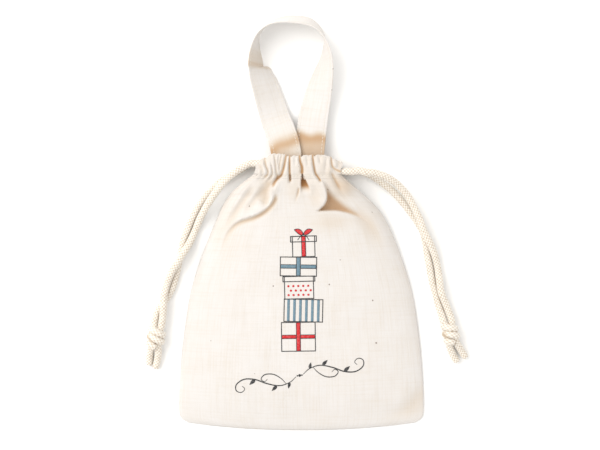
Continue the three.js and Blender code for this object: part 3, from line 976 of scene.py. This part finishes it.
def lifted(u, w):
    # the gathered threads fan out, so the foot curves up towards its corners
    below = np.clip((neckFoot - w) / (neckFoot - footY), 0, 1)
    return w + pouch["lift"] * np.abs(u) ** 2.2 * below**3


def unlifted(x, y):
    # the place in the cloth's own grid of a point seen from above, by taking the lift off four times
    w = y
    for _ in range(4):
        u = np.clip((x - acrossAt(0, w)) / halfWidth(w), -1, 1)
        w = y - (lifted(u, w) - w)
    return u, w


def roundness(u, w):
    # 1 in the middle and 0 at the side seams, squarer where the neck is gathered
    edge = pouch["edge"] + pouch["hemEdge"] * smooth(82, neckFoot, w)
    return np.sqrt(np.clip(1 - np.abs(u) ** edge, 0, 1))


def frontShape(u, w, hem=False):
    # height of the front's outer face, and its painted shade from folds, pockets, pleats and warm places:
    # the height goes from the seams' height to the crown's by the roundness, then folds, pockets, pleats,
    # the stitching's pinch and soft waves
    x, y = acrossAt(u, w), lifted(u, w)
    full = roundness(u, w)
    if hem:
        full = full + (1 - 0.35 * np.abs(u) ** 10 - full) * smooth(neckFoot + 1, neckFoot + 7, w)
    rise, top = np.interp(w, seamRise[:, 0], seamRise[:, 1]), np.interp(w, crown[:, 0], crown[:, 1])
    z = rise + (top - rise) * full
    inner = full * smooth(footY, footY + 14, w)
    dark = np.zeros_like(z)
    for fold in folds:
        height, shade = foldHeight(x, y, fold)
        z, dark = z + height * np.clip(inner * 1.3, 0, 1), dark + shade
    for pocket in pockets:
        depth = pocketDepth(x, y, pocket)
        # painted shade down in the pocket, full over most of its depth
        z, dark = z - depth, dark + smooth(0, 0.8, depth / pocket["depth"]) * pocket["paintedShade"]
    pleat = pleatDepth(x, y)
    z = z - pleat * np.clip(full * 1.4, 0, 1)
    pinch = np.exp(-(((w - neckFoot - pouch["stitchRise"]) / 1.9) ** 2)) * full
    z = z - pinch * (0.25 + 0.75 * smooth(-2, -24, x) + 0.25 * ripple(x, 0 * x, 13, 17, 5))
    calm = smooth(neckFoot + 4, neckFoot - 40, w)
    z = z + inner * calm * (0.5 * ripple(x, y, 62, 3) + 0.16 * ripple(x, 0.6 * y, 23, 4))
    z = z + inner * (0.22 * ripple(x, 0.6 * y, 17, 6) * (1 - calm) + 0.06 * ripple(x, 0.35 * y, 7, 5))
    if hem:
        # over the cords a pleat can sink no lower than the cord inside
        held = frontZ + pouch["overCords"]
        z = z + (np.maximum(z, held) - z) * smooth(neckFoot + 3.2, neckFoot + 4.4, w) * (full > 0.5)
    # painted warm shade over the gathered neck, and in the warm places listed above
    warmShade = smooth(80, 98, w) * (0.09 + 0.04 * smooth(-12, 8, x) + 0.06 * ripple(x, 0.4 * y, 11, 12))
    for (midX, midY), (reachX, reachY), share in warmShadePlaces:
        warmShade = warmShade + share * np.exp(-(((x - midX) / reachX) ** 2) - ((y - midY) / reachY) ** 2)
    # painted shade: the folds', the pockets', the pleats' and the warm places' together
    creaseShade = dark + smooth(1.0, 3.6, pleat) * 0.75 + warmShade
    return z, np.clip(creaseShade, 0, 0.97)


def mirroredAcross(x):
    # the back's pleats are the front's turned about, a little apart from theirs
    return 2.4 - 0.96 * x


def backShape(u, w):
    # the same for the back, which lies on the table: only its pleats and its hem's seam rise off it
    x = acrossAt(u, w)
    full = roundness(u, w)
    rise = np.interp(w, seamRise[:, 0], seamRise[:, 1])
    pleat = pleatDepth(mirroredAcross(x), w + 0 * x) * 0.8
    z = 0.35 + (rise - 0.35) * (1 - full) + pleat * full
    z = z + 1.2 * np.exp(-(((w - neckFoot - pouch["stitchRise"]) / 1.6) ** 2)) * full
    z = z + full * (0.2 * (1 + ripple(x, w, 30, 8)) + 0.08 * (1 + ripple(x, 0.4 * w, 8, 9)))
    # painted shade in the back's pleats
    return z, smooth(0.4, 3.0, pleat) * 0.5


def onFront(place, lift):
    # points over places seen from above, that far above the front's outer face
    x, y = place[..., 0], place[..., 1]
    u, w = unlifted(x, y)
    return np.stack([x, y, frontShape(u, w)[0] + lift], axis=-1)


def clothPlace(u, w, layer):
    # the cloth's own coordinates in metres, as it was cut: its full width at every height. Each layer has
    # a number of its own, so that their flecks differ
    return np.stack(np.broadcast_arrays(u * pouch["flatHalf"] * mm, w * mm, layer), axis=-1).reshape(-1, 3)


def makePanels():
    # rows of points from the foot to just inside the hem, closer together towards the neck
    rows, columns = pouch["rows"], pouch["columns"]
    t = np.linspace(0, 1, rows)
    w = (footY + (neckFoot + 1.4 - footY) * (1 - (1 - t) ** 1.35))[:, None]
    even = np.linspace(-1, 1, columns)
    u = (0.35 * np.sin(even * np.pi / 2) + 0.65 * even)[None, :]
    x, y, full = acrossAt(u, w), lifted(u, w), np.broadcast_to(u, (rows, columns))
    under = 0.55 * smooth(neckFoot - 0.1, neckFoot + 0.5, w)
    faces = gridFaces(rows, columns)
    for name, node, shape, layer, flip in (
        ("front_cloth", "front_panel", frontShape, 0.0, 1),
        ("back_cloth", "back_panel", backShape, 0.3, -1),
    ):
        z, creaseShade = shape(full, w + 0 * u)
        points = np.stack([x, y, z - flip * under], axis=-1).reshape(-1, 3)
        extra = {"cloth": clothPlace(u, w, layer), "creaseShade": creaseShade.ravel()}
        panel = thicken(makePiece(name, points, faces[:, ::flip], cloth, extra), pouch["thickness"])
        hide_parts(node)
        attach(panel, "pouch")


def backHemFace(x, y):
    return hemPlan["backFace"] + pleatDepth(mirroredAcross(x), y) * hemPlan["backPleat"]


def makeHem(name, node, face):
    # the cloth goes up from its stitching, over the cords and down behind them. Its outer half follows the
    # panel's height function and rounds over at the fold; its inner half is a flatter copy below the cords
    columns = hemPlan["columns"]
    u = np.linspace(-1, 1, columns)[None, :]
    up = np.linspace(0, 1, hemPlan["rows"])[:, None]
    xMiddle = acrossAt(u, (neckFoot + neckTop) / 2)
    notch = pleatDepth(xMiddle, np.interp(xMiddle, hemTop[:, 0], hemTop[:, 1]) - 1)
    fold = np.interp(xMiddle, hemTop[:, 0], hemTop[:, 1]) - 0.4 * notch
    fold = fold + 0.35 * ripple(xMiddle, 0 * xMiddle, 8, 31, 6)
    if face < 0:
        fold = fold - hemPlan["backFold"]
    y = neckFoot + (fold - neckFoot) * (1 - (1 - up) ** 1.5)
    x = acrossAt(u, y)
    past = np.clip((y - neckFoot - 7) / (fold - neckFoot - 7), 0, 1)
    over = np.sqrt(np.clip(1 - past**2.4, 0, 1))
    end = 1 - 0.3 * np.abs(u) ** 12
    full = np.broadcast_to(u, y.shape)
    if face > 0:
        z, creaseShade = frontShape(full, y, hem=True)
        outer, middle = frontZ + (z - frontZ) * over, frontZ
    else:
        z, creaseShade = backHemFace(x, y), backShape(full, y)[1]
        outer, middle = backZ + (z - backZ) * over, backZ
    sewn = smooth(neckFoot + 5.5, neckFoot + 1.5, y)
    pucker = 0.3 * pleatDepth(x * 0.97 - face * 1.3, y)
    depth = (hemPlan["depth"] - np.minimum(pucker, 0.9)) * over * end
    inner = middle - face * depth
    inner = inner * (1 - sewn) + (z - face * 1.5) * sewn
    outside = np.stack([x, y, outer], axis=-1)
    narrower = x * (1 - hemPlan["narrowing"] * over * (1 - sewn))
    inside = np.stack([narrower, y - 0.5 * (1 - up), inner], axis=-1)[::-1][1:]
    points = np.concatenate([outside, inside])
    # painted shade: the outer half takes the panel's, and the inner half under the cords a flat 0.3
    deep = np.concatenate([creaseShade + 0 * y, np.full(inner.shape, 0.3)[1:]])
    v = np.concatenate([neckFoot + hemPlan["turned"] * up, neckFoot + hemPlan["turned"] * (1 + up[1:])])
    faces = gridFaces(len(points), columns)[:, ::face]
    extra = {"cloth": clothPlace(u, v, 0.6 + 0.1 * face), "creaseShade": deep.ravel()}
    piece = thicken(makePiece(name, points.reshape(-1, 3), faces, cloth, extra), pouch["thickness"])
    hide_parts(node)
    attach(piece, "pouch")
    return piece


frontHem = makeHem("front_hem", "front_casing", 1)
backHem = makeHem("back_hem", "back_casing", -1)
makePanels()
print("pouch cloth made")


# each kind of stitch: its length, the pitch of the row and the thread's radius
stitchKinds = {"hem": (2.3, 3.0, 0.3), "tape": (2.2, 2.9, 0.24), "tack": (2.2, 2.8, 0.28)}


def stitches(name, kind, line, normal):
    # short threads along a line, each an ellipsoid stretched along it: rings of radius times
    # (0, 0.75, 1, 0.75, 0) at (-0.5, -0.36, 0, 0.36, 0.5) of its length
    length, pitch, radius = stitchKinds[kind]
    along = distances(line)
    at = np.arange(pitch, along[-1] - pitch, pitch)
    centre = np.stack([np.interp(at, along, line[:, k]) for k in range(3)], axis=1)
    ahead = np.stack([np.interp(at + 0.3, along, line[:, k]) for k in range(3)], axis=1) - centre
    ahead /= np.linalg.norm(ahead, axis=1)[:, None]
    up = np.stack([np.interp(at, along, normal[:, k]) for k in range(3)], axis=1)
    side = np.cross(up, ahead)
    side /= np.linalg.norm(side, axis=1)[:, None]
    up = np.cross(ahead, side)
    sides = 8
    angle = np.linspace(0, 2 * np.pi, sides, endpoint=False)
    reach, size = np.array([-0.36, 0, 0.36]), np.array([0.75, 1, 0.75])
    a = np.concatenate([[-0.5], np.repeat(reach, sides), [0.5]]) * length
    b = np.concatenate([[0], (size[:, None] * np.cos(angle)).ravel(), [0]]) * radius
    c = np.concatenate([[0], (size[:, None] * np.sin(angle)).ravel(), [0]]) * radius
    points = (
        centre[:, None]
        + a[None, :, None] * ahead[:, None]
        + b[None, :, None] * side[:, None]
        + c[None, :, None] * up[:, None]
    )
    one = (gridFaces(3, sides, wrapColumns=True) + 1)[:, ::-1].tolist()
    one += [[0, 1 + (k + 1) % sides, 1 + k][::-1] for k in range(sides)]
    last = 3 * sides + 1
    one += [[last, last - sides + k, last - sides + (k + 1) % sides][::-1] for k in range(sides)]
    count = points.shape[1]
    faces = [[i * count + v for v in face] for i in range(len(at)) for face in one]
    place = np.stack(np.broadcast_arrays(b[None], a[None] + at[:, None], 0.0), axis=-1).reshape(-1, 3) * mm
    return makePiece(name, points.reshape(-1, 3), faces, threadCoat, {"cloth": place})


def sewIn(row, node):
    # a row of thread that stays with the pouch
    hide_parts(node)
    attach(row, "pouch")


def hemStitching():
    # rows of thread along both hems, sunk out of sight where a pleat is deep
    x = np.linspace(-casingHalf + 1, casingHalf - 2.5, 300)
    y = neckFoot + pouch["stitchRise"] + 0.25 * ripple(x, 0 * x, 12, 71, 4)
    u = (x - acrossAt(0, y)) / halfWidth(y)
    z = frontShape(u[None], y[None], hem=True)[0][0]
    sunk = 1.5 * smooth(0.5, 1.3, pleatDepth(x[None], y[None])[0])
    line = np.column_stack([x, y, z + 0.12 - sunk])
    normal = np.column_stack([-np.gradient(z, x), 0 * x, 0 * x + 1])
    sewIn(stitches("front_hem_stitching", "hem", line, normal), "front_casing_stitch")
    line = np.column_stack([x, y, backHemFace(x, y) + 1.5 + 0.45])
    sewIn(stitches("back_hem_stitching", "hem", line, normal * [0, 0, 1]), "back_casing_stitch")


def closedSheet(top, bottom, extra):
    # two matching grids of points joined round their edges
    rows, columns = top.shape[:2]
    size = rows * columns
    grid = gridFaces(rows, columns)
    ring = np.concatenate(
        [
            np.arange(columns),
            np.arange(1, rows) * columns + columns - 1,
            (rows - 1) * columns + np.arange(columns - 2, -1, -1),
            np.arange(rows - 2, 0, -1) * columns,
        ]
    )
    after = np.roll(ring, -1)
    wall = np.stack([ring, ring + size, after + size, after], axis=1)
    faces = np.concatenate([grid, grid[:, ::-1] + size, wall])
    points = np.concatenate([top.reshape(-1, 3), bottom.reshape(-1, 3)])
    extra = {key: np.concatenate([value, value]) for key, value in extra.items()}
    return points, faces, extra


# the seams' allowances: how far inside the edge they begin, their width and half thickness, and the depth
# and pitch of the overlocking along their raw edge
seam = {"inset": 3.6, "footInset": 4.0, "width": 5.4, "half": 0.3, "scallop": 0.35, "pitch": 2.4}


def makeSeams():
    # the overlocked allowances inside the pouch, midway between front and back
    for name, node, side in (("left_seam", "left_side_seam", -1), ("right_seam", "right_side_seam", 1)):
        w = np.linspace(footY + 15, neckFoot - 12, 150)[:, None]
        out = np.linspace(0, 1, 5)[None, :] if side > 0 else np.linspace(1, 0, 5)[None, :]
        scallop = seam["scallop"] * np.sin(w * 2 * np.pi / seam["pitch"]) * (1 - out)
        u = side * (1 - (seam["inset"] + seam["width"] * (1 - out) + scallop) / halfWidth(w))
        addSeam(name, node, u, w + 0 * u)
    u = np.linspace(-0.9, 0.9, 200)[None, :]
    up = np.linspace(0, 1, 5)[:, None]
    scallop = seam["scallop"] * np.sin(u * 102 * 2 * np.pi / seam["pitch"]) * up
    w = footY + seam["footInset"] + seam["width"] * up + scallop
    addSeam("foot_seam", "bottom_seam", u + 0 * w, w)


def addSeam(name, node, u, w):
    # a thin closed strip halfway between the front and the back
    x, y = acrossAt(u, w), lifted(u, w)
    z = 0.5 * (frontShape(u, w)[0] + backShape(u, w)[0])
    top, bottom = (np.stack([x, y, z + side * seam["half"]], axis=-1) for side in (1, -1))
    place = np.column_stack([x.ravel(), y.ravel(), 0 * x.ravel()]) * mm
    points, faces, extra = closedSheet(top, bottom, {"cloth": place})
    sewIn(makePiece(name, points, faces, threadCoat, extra), node)


hemStitching()
makeSeams()
print("stitching and seams made")


# a folded tape, flat where it is sewn in, that turns up on edge round its loop
strap = {
    "width": 25.0,
    "thickness": 1.1,
    "hem": 2.6,  # the topstitching, in from each edge
    "rows": 420,
    "columns": 30,
    # painted shade at the tape's feet and where the left arm turns up on edge
    "paintedShade": {"front": 0.72, "back": 0.8, "turned": 0.36},  # how dark its creases look
    "turnedAt": (192.5, 199.0),  # the heights at which the left arm turns up on edge
    "hingeStart": (-0.003, 0.1145, 0.0125),
    "hingeEnd": (-0.003, 0.1245, 0.0125),
}
frontEndZ, backEndZ = (np.mean(nodeBox(f"strap_{face}_end"), axis=0)[2] for face in ("front", "back"))
# the outer edge of the tape and its roll in degrees: 0 is flat, -90 on edge with the outer edge up, and
# past -90 that edge leans in over the loop
strapRoute = [
    (-25.1, 103, frontEndZ, 0), (-25.1, 111, frontEndZ - 0.2, 0), (-25.3, 119, 13.9, 0),
    (-27.8, 129, 11.6, 0), (-33.2, 144, 8.2, -8), (-37.0, 157.5, 9.8, -17), (-40.4, 171, 13.2, -26),
    (-42.8, 181, 16.0, -34), (-43.5, 188, 18.4, -43), (-43.9, 191.6, 22.4, -60), (-43.7, 196, 23.0, -63),
    (-42.6, 203, 24.0, -68), (-40.2, 210, 24.9, -77), (-36.4, 216.8, 25.6, -87), (-31, 221.6, 25.7, -95),
    (-24, 224.6, 25.5, -103), (-14.6, 225.6, 25.0, -110), (-4, 225.2, 24.6, -113), (4.8, 223.8, 24.8, -112),
    (12, 220.6, 25.4, -104), (17.6, 215.4, 25.7, -95), (22, 208.6, 25.2, -80), (25, 199, 23.4, -66),
    (26, 188, 20.1, -51), (25.6, 175, 15.6, -36), (24, 161, 11.2, -23), (22, 147, 9.4, -12),
    (20.4, 133, 9.5, -3),
    (19.1, 119, 11.0, 0), (19, 111, backEndZ + 0.1, 0), (19, 103, backEndZ, 0),
]


def tapeFrame():
    # for each row: the outer edge, the direction across the tape, and the direction off its face
    line = through(strapRoute, 1600)
    line = evenly(line * [1, 1, 1, 0.02], distances(line[:, :3])[-1] / (strap["rows"] - 1)) * [1, 1, 1, 50]
    edge, roll = line[:, :3], np.radians(np.minimum(line[:, 3], 0))
    along = np.gradient(edge, axis=0)
    inward = np.column_stack([along[:, 1], -along[:, 0], 0 * roll])
    inward /= np.linalg.norm(inward, axis=1)[:, None]
    across = inward * np.cos(roll)[:, None] + np.outer(np.sin(roll), [0, 0, 1.0])
    off = np.cross(across, along)
    return edge, across, off / np.linalg.norm(off, axis=1)[:, None]


def tapeShade(x, y, isFront):
    # painted shade, how dark each point is coloured: a slanting bell across the front arm's foot, the whole
    # foot of the back arm, which lies in shade, and two bells where the left arm turns up on edge
    ragged = 1.2 * ripple(x, 0 * x, 9, 83, 5)
    front = np.exp(-(((y - 127 - 0.45 * (x + 12) - ragged) / 6.5) ** 2)) + 0.45 * smooth(124, 116, y)
    back = smooth(141, 133, y + 0.16 * x + ragged) * (0.75 + 0.25 * smooth(124, 132, y))
    first, second = strap["turnedAt"]
    turned = np.exp(-(((y - first) / 2.6) ** 2)) + 0.6 * np.exp(-(((y - second) / 6) ** 2))
    paintedShade = strap["paintedShade"]
    creaseShade = isFront * paintedShade["front"] * front + ~isFront * paintedShade["back"] * back
    return np.clip(creaseShade + paintedShade["turned"] * turned * (x < -20), 0, 0.8)


def makeStrap():
    # the tape's middle surface, cupped and rippled a little, and a face on each side of it, nearer together
    # at its edges and along its topstitching
    edge, across, off = tapeFrame()
    share = np.linspace(0, 1, strap["columns"])
    width = strap["width"]
    d = width * (0.5 - 0.5 * np.cos(share * np.pi) * 0.55 + (share - 0.5) * 0.45)
    along = distances(edge)
    v, dGrid = along[:, None], d[None, :]
    fromEdge = np.minimum(d, width - d)
    half = strap["thickness"] / 2 * (0.5 + 0.5 * np.sqrt(np.clip(fromEdge / 0.7, 0, 1)))
    half = half - 0.17 * np.exp(-(((fromEdge - strap["hem"]) / 0.45) ** 2))
    cup = 0.5 * np.sin(dGrid / width * np.pi)
    cup = cup + 0.28 * ripple(dGrid, v, 34, 81) + 0.09 * ripple(dGrid, 2 * v, 9, 82)
    loose = smooth(0, 24, v) * smooth(0, 24, along[-1] - v)
    middle = edge[:, None] + across[:, None] * dGrid[..., None] + off[:, None] * (cup * loose)[..., None]
    top = middle + off[:, None] * half[None, :, None]
    bottom = middle - off[:, None] * half[None, :, None]
    creaseShade = tapeShade(middle[..., 0], middle[..., 1], v < along[-1] / 2).ravel()
    place = np.stack(np.broadcast_arrays(dGrid * mm, v * mm, 1.2), axis=-1).reshape(-1, 3)
    extra = mirrored({"cloth": place, "creaseShade": creaseShade}, top.shape[:2])
    points, faces, extra = closedSheet(top[:, ::-1], bottom[:, ::-1], extra)
    tape = makePiece("carry_tape", points, faces, cloth, extra)
    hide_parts("carry_strap", "strap_front_end", "strap_back_end")
    rows = []
    for number, distance in enumerate((strap["hem"], width - strap["hem"])):
        for way, surface in ((1, top), (-1, bottom)):
            flat = surface.transpose(0, 2, 1).reshape(-1, len(d))
            line = np.array([np.interp(distance, d, row) for row in flat]).reshape(-1, 3)
            name = f"tape_stitching_{2 * number + (way > 0)}"
            rows.append(stitches(name, "tape", line + way * 0.02 * off, way * off))
    stitching = joined("tape_stitching", rows)
    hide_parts("strap_edge_stitch")
    for piece in (tape, stitching):
        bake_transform(piece)
    print(f"tape {along[-1]:.0f} mm long")


def mirrored(extra, shape):
    # the same attributes for a grid whose columns run the other way
    return {key: value.reshape(*shape, -1)[:, ::-1].reshape(value.shape) for key, value in extra.items()}


def joined(name, pieces):
    # one object from several
    bpy.ops.object.select_all(action="DESELECT")
    for piece in pieces:
        piece.select_set(True)
    bpy.context.view_layer.objects.active = pieces[0]
    bpy.ops.object.join()
    pieces[0].name = name
    pieces[0].data.name = name
    return pieces[0]


def makeTacks():
    # the rows that sew the tape's two ends to the inner faces of the hems
    for face, z, way in (("front", frontEndZ, -1), ("back", backEndZ, 1)):
        low, high = nodeBox(f"strap_{face}_tack")
        x = np.linspace(low[0], high[0], 40)
        y, off = (low[1] + high[1]) / 2, way * (strap["thickness"] / 2 + 0.05)
        line = np.column_stack([x, 0 * x + y, 0 * x + z + off])
        normal = np.tile([0.0, 0, way], (len(x), 1))
        sewIn(stitches(f"{face}_tack_stitching", "tack", line, normal), f"strap_{face}_tack")


makeStrap()
makeTacks()
print("carry strap made")


# a stack of plain gift boxes over a scroll, drawn in three inks
ink = {
    "line": 0.75,  # the width of an outline, and of finer and of flowing lines
    "fine": 0.5,
    "bow": 0.6,
    "scroll": 1.05,
    "tendril": 0.85,
    "depth": 0.2,  # how far a film reaches into the cloth, and how far above it
    "lift": {"red": 0.07, "blue": 0.07, "line": 0.12},
    "step": 1.4,  # between the points of a line
}
drawn = {"line": [], "red": [], "blue": []}


def stroke(kind, points, width, smoothly=True, thin=0.0):
    # a line of ink: its path and its width, which may thin towards both ends
    count = 12 * len(points)
    line = evenly(through(points, count) if smoothly else np.array(points, float), ink["step"])
    tangent = np.gradient(line, axis=0)
    tangent /= np.linalg.norm(tangent, axis=1)[:, None]
    t = np.linspace(0, 1, len(line))
    half = 0.5 * width * (1 - thin * np.abs(2 * t - 1) ** 2)
    aside = np.column_stack([-tangent[:, 1], tangent[:, 0]]) * half[:, None]
    drawn[kind].append(np.stack([line + aside, line - aside], axis=1))


def patch(kind, low, high):
    # an area of ink between two matching lines of points
    low, high = np.array(low, float), np.array(high, float)
    gap = np.linalg.norm(high - low, axis=1).max()
    t = np.linspace(0, 1, max(2, int(gap / ink["step"]) + 1))[None, :, None]
    drawn[kind].append(high[:, None] * (1 - t) + low[:, None] * t)


def placed(points, centre, turn):
    # points of a drawing turned by some degrees and moved to their place
    a = np.radians(turn)
    points = np.array(points, float)
    return points @ np.array([[np.cos(a), np.sin(a)], [-np.sin(a), np.cos(a)]]) + centre


def bar(kind, box, centre, turn):
    # a filled rectangle
    left, right, low, high = box
    count = max(2, int((right - left) / ink["step"]) + 1)
    x = np.linspace(left, right, count)
    patch(
        kind,
        placed(np.column_stack([x, 0 * x + low]), centre, turn),
        placed(np.column_stack([x, 0 * x + high]), centre, turn),
    )


def frameLine(box, centre, turn):
    # a rectangle's four sides, each drawn a little past its corners
    left, right, low, high = box
    over = ink["line"] / 2
    for a, b in (
        ((left - over, low), (right + over, low)),
        ((left - over, high), (right + over, high)),
        ((left, low), (left, high)),
        ((right, low), (right, high)),
    ):
        stroke("line", placed([a, b], centre, turn), ink["line"], False)


def disc(kind, middle, radius, centre, turn):
    # a filled circle between its lower and upper halves
    a = np.linspace(0, np.pi, 9)
    x = middle[0] - radius * np.cos(a)
    half = radius * np.sin(a) * 0.98 + 0.02
    patch(
        kind,
        placed(np.column_stack([x, middle[1] - half]), centre, turn),
        placed(np.column_stack([x, middle[1] + half]), centre, turn),
    )


def bow(kind, size, centre, turn):
    # two leaf-shaped loops and two tails from a small knot
    for side in (-1, 1):
        t = np.linspace(0, 1, 12)
        swellOut = size * 0.42 * np.sin(np.pi * t**0.75)
        x, y = side * size * t, size * 0.5 * t
        upper = np.column_stack([x, y + swellOut * 0.8 + 0.05])
        lower = np.column_stack([x, y - swellOut * 0.55 - 0.05])
        patch(kind, placed(lower, centre, turn), placed(upper, centre, turn))
        tail = size * np.array([(0, 0), (side * 0.35, -0.25), (side * 0.62, -0.62)])
        for line in (upper, lower, tail):
            stroke("line", placed(line, centre, turn), ink["bow"])
    disc("line", (0, 0), 0.9, centre, turn)


# each box: its middle, width, height, turn in degrees, the ink of its ribbon and how it is decorated
giftBoxes = [
    {"middle": (-2.5, -33.2), "size": (28, 24), "turn": 0.8, "ribbon": "red", "trim": "cross"},
    {"middle": (1.6, -11.4), "size": (32, 18.6), "turn": -1.2, "ribbon": "blue", "trim": "bands"},
    {"middle": (-2.0, 7.7), "size": (24, 18.6), "turn": 1.4, "ribbon": "red", "trim": "dots"},
    {"middle": (-2.5, 25.1), "size": (30, 15.6), "turn": -0.8, "ribbon": "blue", "trim": "cross"},
    {"middle": (1.8, 41.8), "size": (18.4, 17), "turn": 1.6, "ribbon": "red", "trim": "lid"},
]
trim = {
    "ribbon": 1.7,  # half widths of an upright ribbon, a level one and a band
    "level": 1.5,
    "band": 1.1,
    "bands": 6,
    "clear": 0.4,  # the gap between a filled area and the outline round it, and between two ribbons
    "gap": 0.3,
    "dot": 0.95,
    "dotPitch": 4.1,
    "dotRows": (3.2, 6.9, 10.6),
    "bow": {"size": 7.6, "centre": (1.6, 51.8), "turn": 0},
}
lids = {"lid": (1.4, 4.6), "dots": (1.2, 4.2)}  # how far each kind stands out, and its height


def drawCross(colour, left, right, place):
    # a level ribbon on each side of the upright one, with a fine line along both its edges
    half, level, clear, gap = trim["ribbon"], trim["level"], trim["clear"], trim["gap"]
    bar(colour, (left + clear, -half - gap, -level, level), *place)
    bar(colour, (half + gap, right - clear, -level, level), *place)
    for y in (-level, level):
        for start, stop in ((left, -half), (half, right)):
            stroke("line", placed([(start, y), (stop, y)], *place), ink["fine"], False)


def drawBox(plan):
    w, h = plan["size"]
    place, colour, kind = (plan["middle"], plan["turn"]), plan["ribbon"], plan["trim"]
    left, right, low, high = -w / 2, w / 2, -h / 2, h / 2
    within = (low + trim["clear"], high - trim["clear"])
    frameLine((left, right, low, high), *place)
    if kind in lids:
        out, tall = lids[kind]
        frameLine((left - out, right + out, high - tall, high), *place)
    if kind in ("cross", "lid"):
        bar(colour, (-trim["ribbon"], trim["ribbon"], *within), *place)
        for x in (-trim["ribbon"], trim["ribbon"]):
            stroke("line", placed([(x, low), (x, high)], *place), ink["fine"], False)
    if kind == "cross":
        drawCross(colour, left, right, place)
    if kind == "bands":
        for x in np.linspace(left + 3.6, right - 3.6, trim["bands"]):
            bar(colour, (x - trim["band"], x + trim["band"], *within), *place)
    if kind == "dots":
        for row, up in enumerate(trim["dotRows"]):
            for x in np.arange(left + 3.2 + 2 * (row % 2), right - 2, trim["dotPitch"]):
                disc(colour, (x, low + up), trim["dot"], *place)


# one half of the scroll: a long S that curls in at its end, a tendril off it, and the leaves' two ends
scroll = {
    "centre": (-1.5, -65.5),
    "turn": 9.0,
    "long": [
        (3, 0.5), (9, 4.4), (18, 5.8), (28, 2.4), (37, -2.4), (46, -4.0), (53, -0.8), (54.2, 4.2),
        (50.4, 6.6), (46.8, 4.2), (48.6, 1.4),
    ],
    "tendril": [(12, 5.3), (15.5, 0.2), (21.5, -4.4), (28.5, -5.2), (32.2, -2.0), (29.6, 0.6), (27, -1.2)],
    "leaves": [((20, 5.6), (25, 9.2)), ((37, -2.4), (42.5, 1.2)), ((9, 4.4), (11, 9.4))],
    "thin": 0.6,  # how much of its width a line loses towards its ends
}


def drawScroll():
    # the half and its turned copy, with a berry in the middle
    centre, turn = scroll["centre"], scroll["turn"]
    for side in (-1, 1):
        mirror = np.array([side, side])
        for line, width in ((scroll["long"], ink["scroll"]), (scroll["tendril"], ink["tendril"])):
            stroke("line", placed(line * mirror, centre, turn), width, True, scroll["thin"])
        for root, tip in scroll["leaves"]:
            leaf(root * mirror, tip * mirror, centre, turn)
        disc("line", (side * 1.9, 0), 0.65, centre, turn)
    disc("line", (0, 0), 1.15, centre, turn)


def leaf(root, tip, centre, turn):
    # a leaf between two points, widest at a third of its length
    root, tip = np.array(root, float), np.array(tip, float)
    t = np.linspace(0, 1, 9)[:, None]
    aside = np.array([-(tip - root)[1], (tip - root)[0]]) * 0.22
    middle, wide = root + (tip - root) * t, np.sin(np.pi * t**0.7) + 0.02
    patch("line", placed(middle - aside * wide, centre, turn), placed(middle + aside * wide, centre, turn))


def makeInk(name, kind, grids):
    # each stroke or area becomes a thin film on the cloth, and the films of one ink are one piece
    points, faces, count = [], [], 0
    for grid in grids:
        if np.cross(grid[1, 0] - grid[0, 0], grid[0, 1] - grid[0, 0]) > 0:
            grid = grid[:, ::-1]
        top, bottom = onFront(grid, ink["lift"][kind]), onFront(grid, -ink["depth"])
        p, f, _ = closedSheet(top[:, ::-1], bottom[:, ::-1], {})
        points.append(p)
        faces.append(f + count)
        count += len(p)
    film = makePiece(name, np.vstack(points), np.vstack(faces), inks[kind])
    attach(film, "pouch")
    return film


def makePrint():
    # the boxes in three inks, then the scroll in one
    for plan in giftBoxes:
        drawBox(plan)
    bow("red", **trim["bow"])
    stack = [makeInk(f"gift_stack_{kind}_ink", kind, drawn[kind]) for kind in ("line", "red", "blue")]
    drawn["line"].clear()
    drawScroll()
    flourish = makeInk("scroll_ink", "line", drawn["line"])
    for film in stack:
        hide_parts("printed_gift_stack")
    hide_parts("printed_flourish")


makePrint()
print("print made")
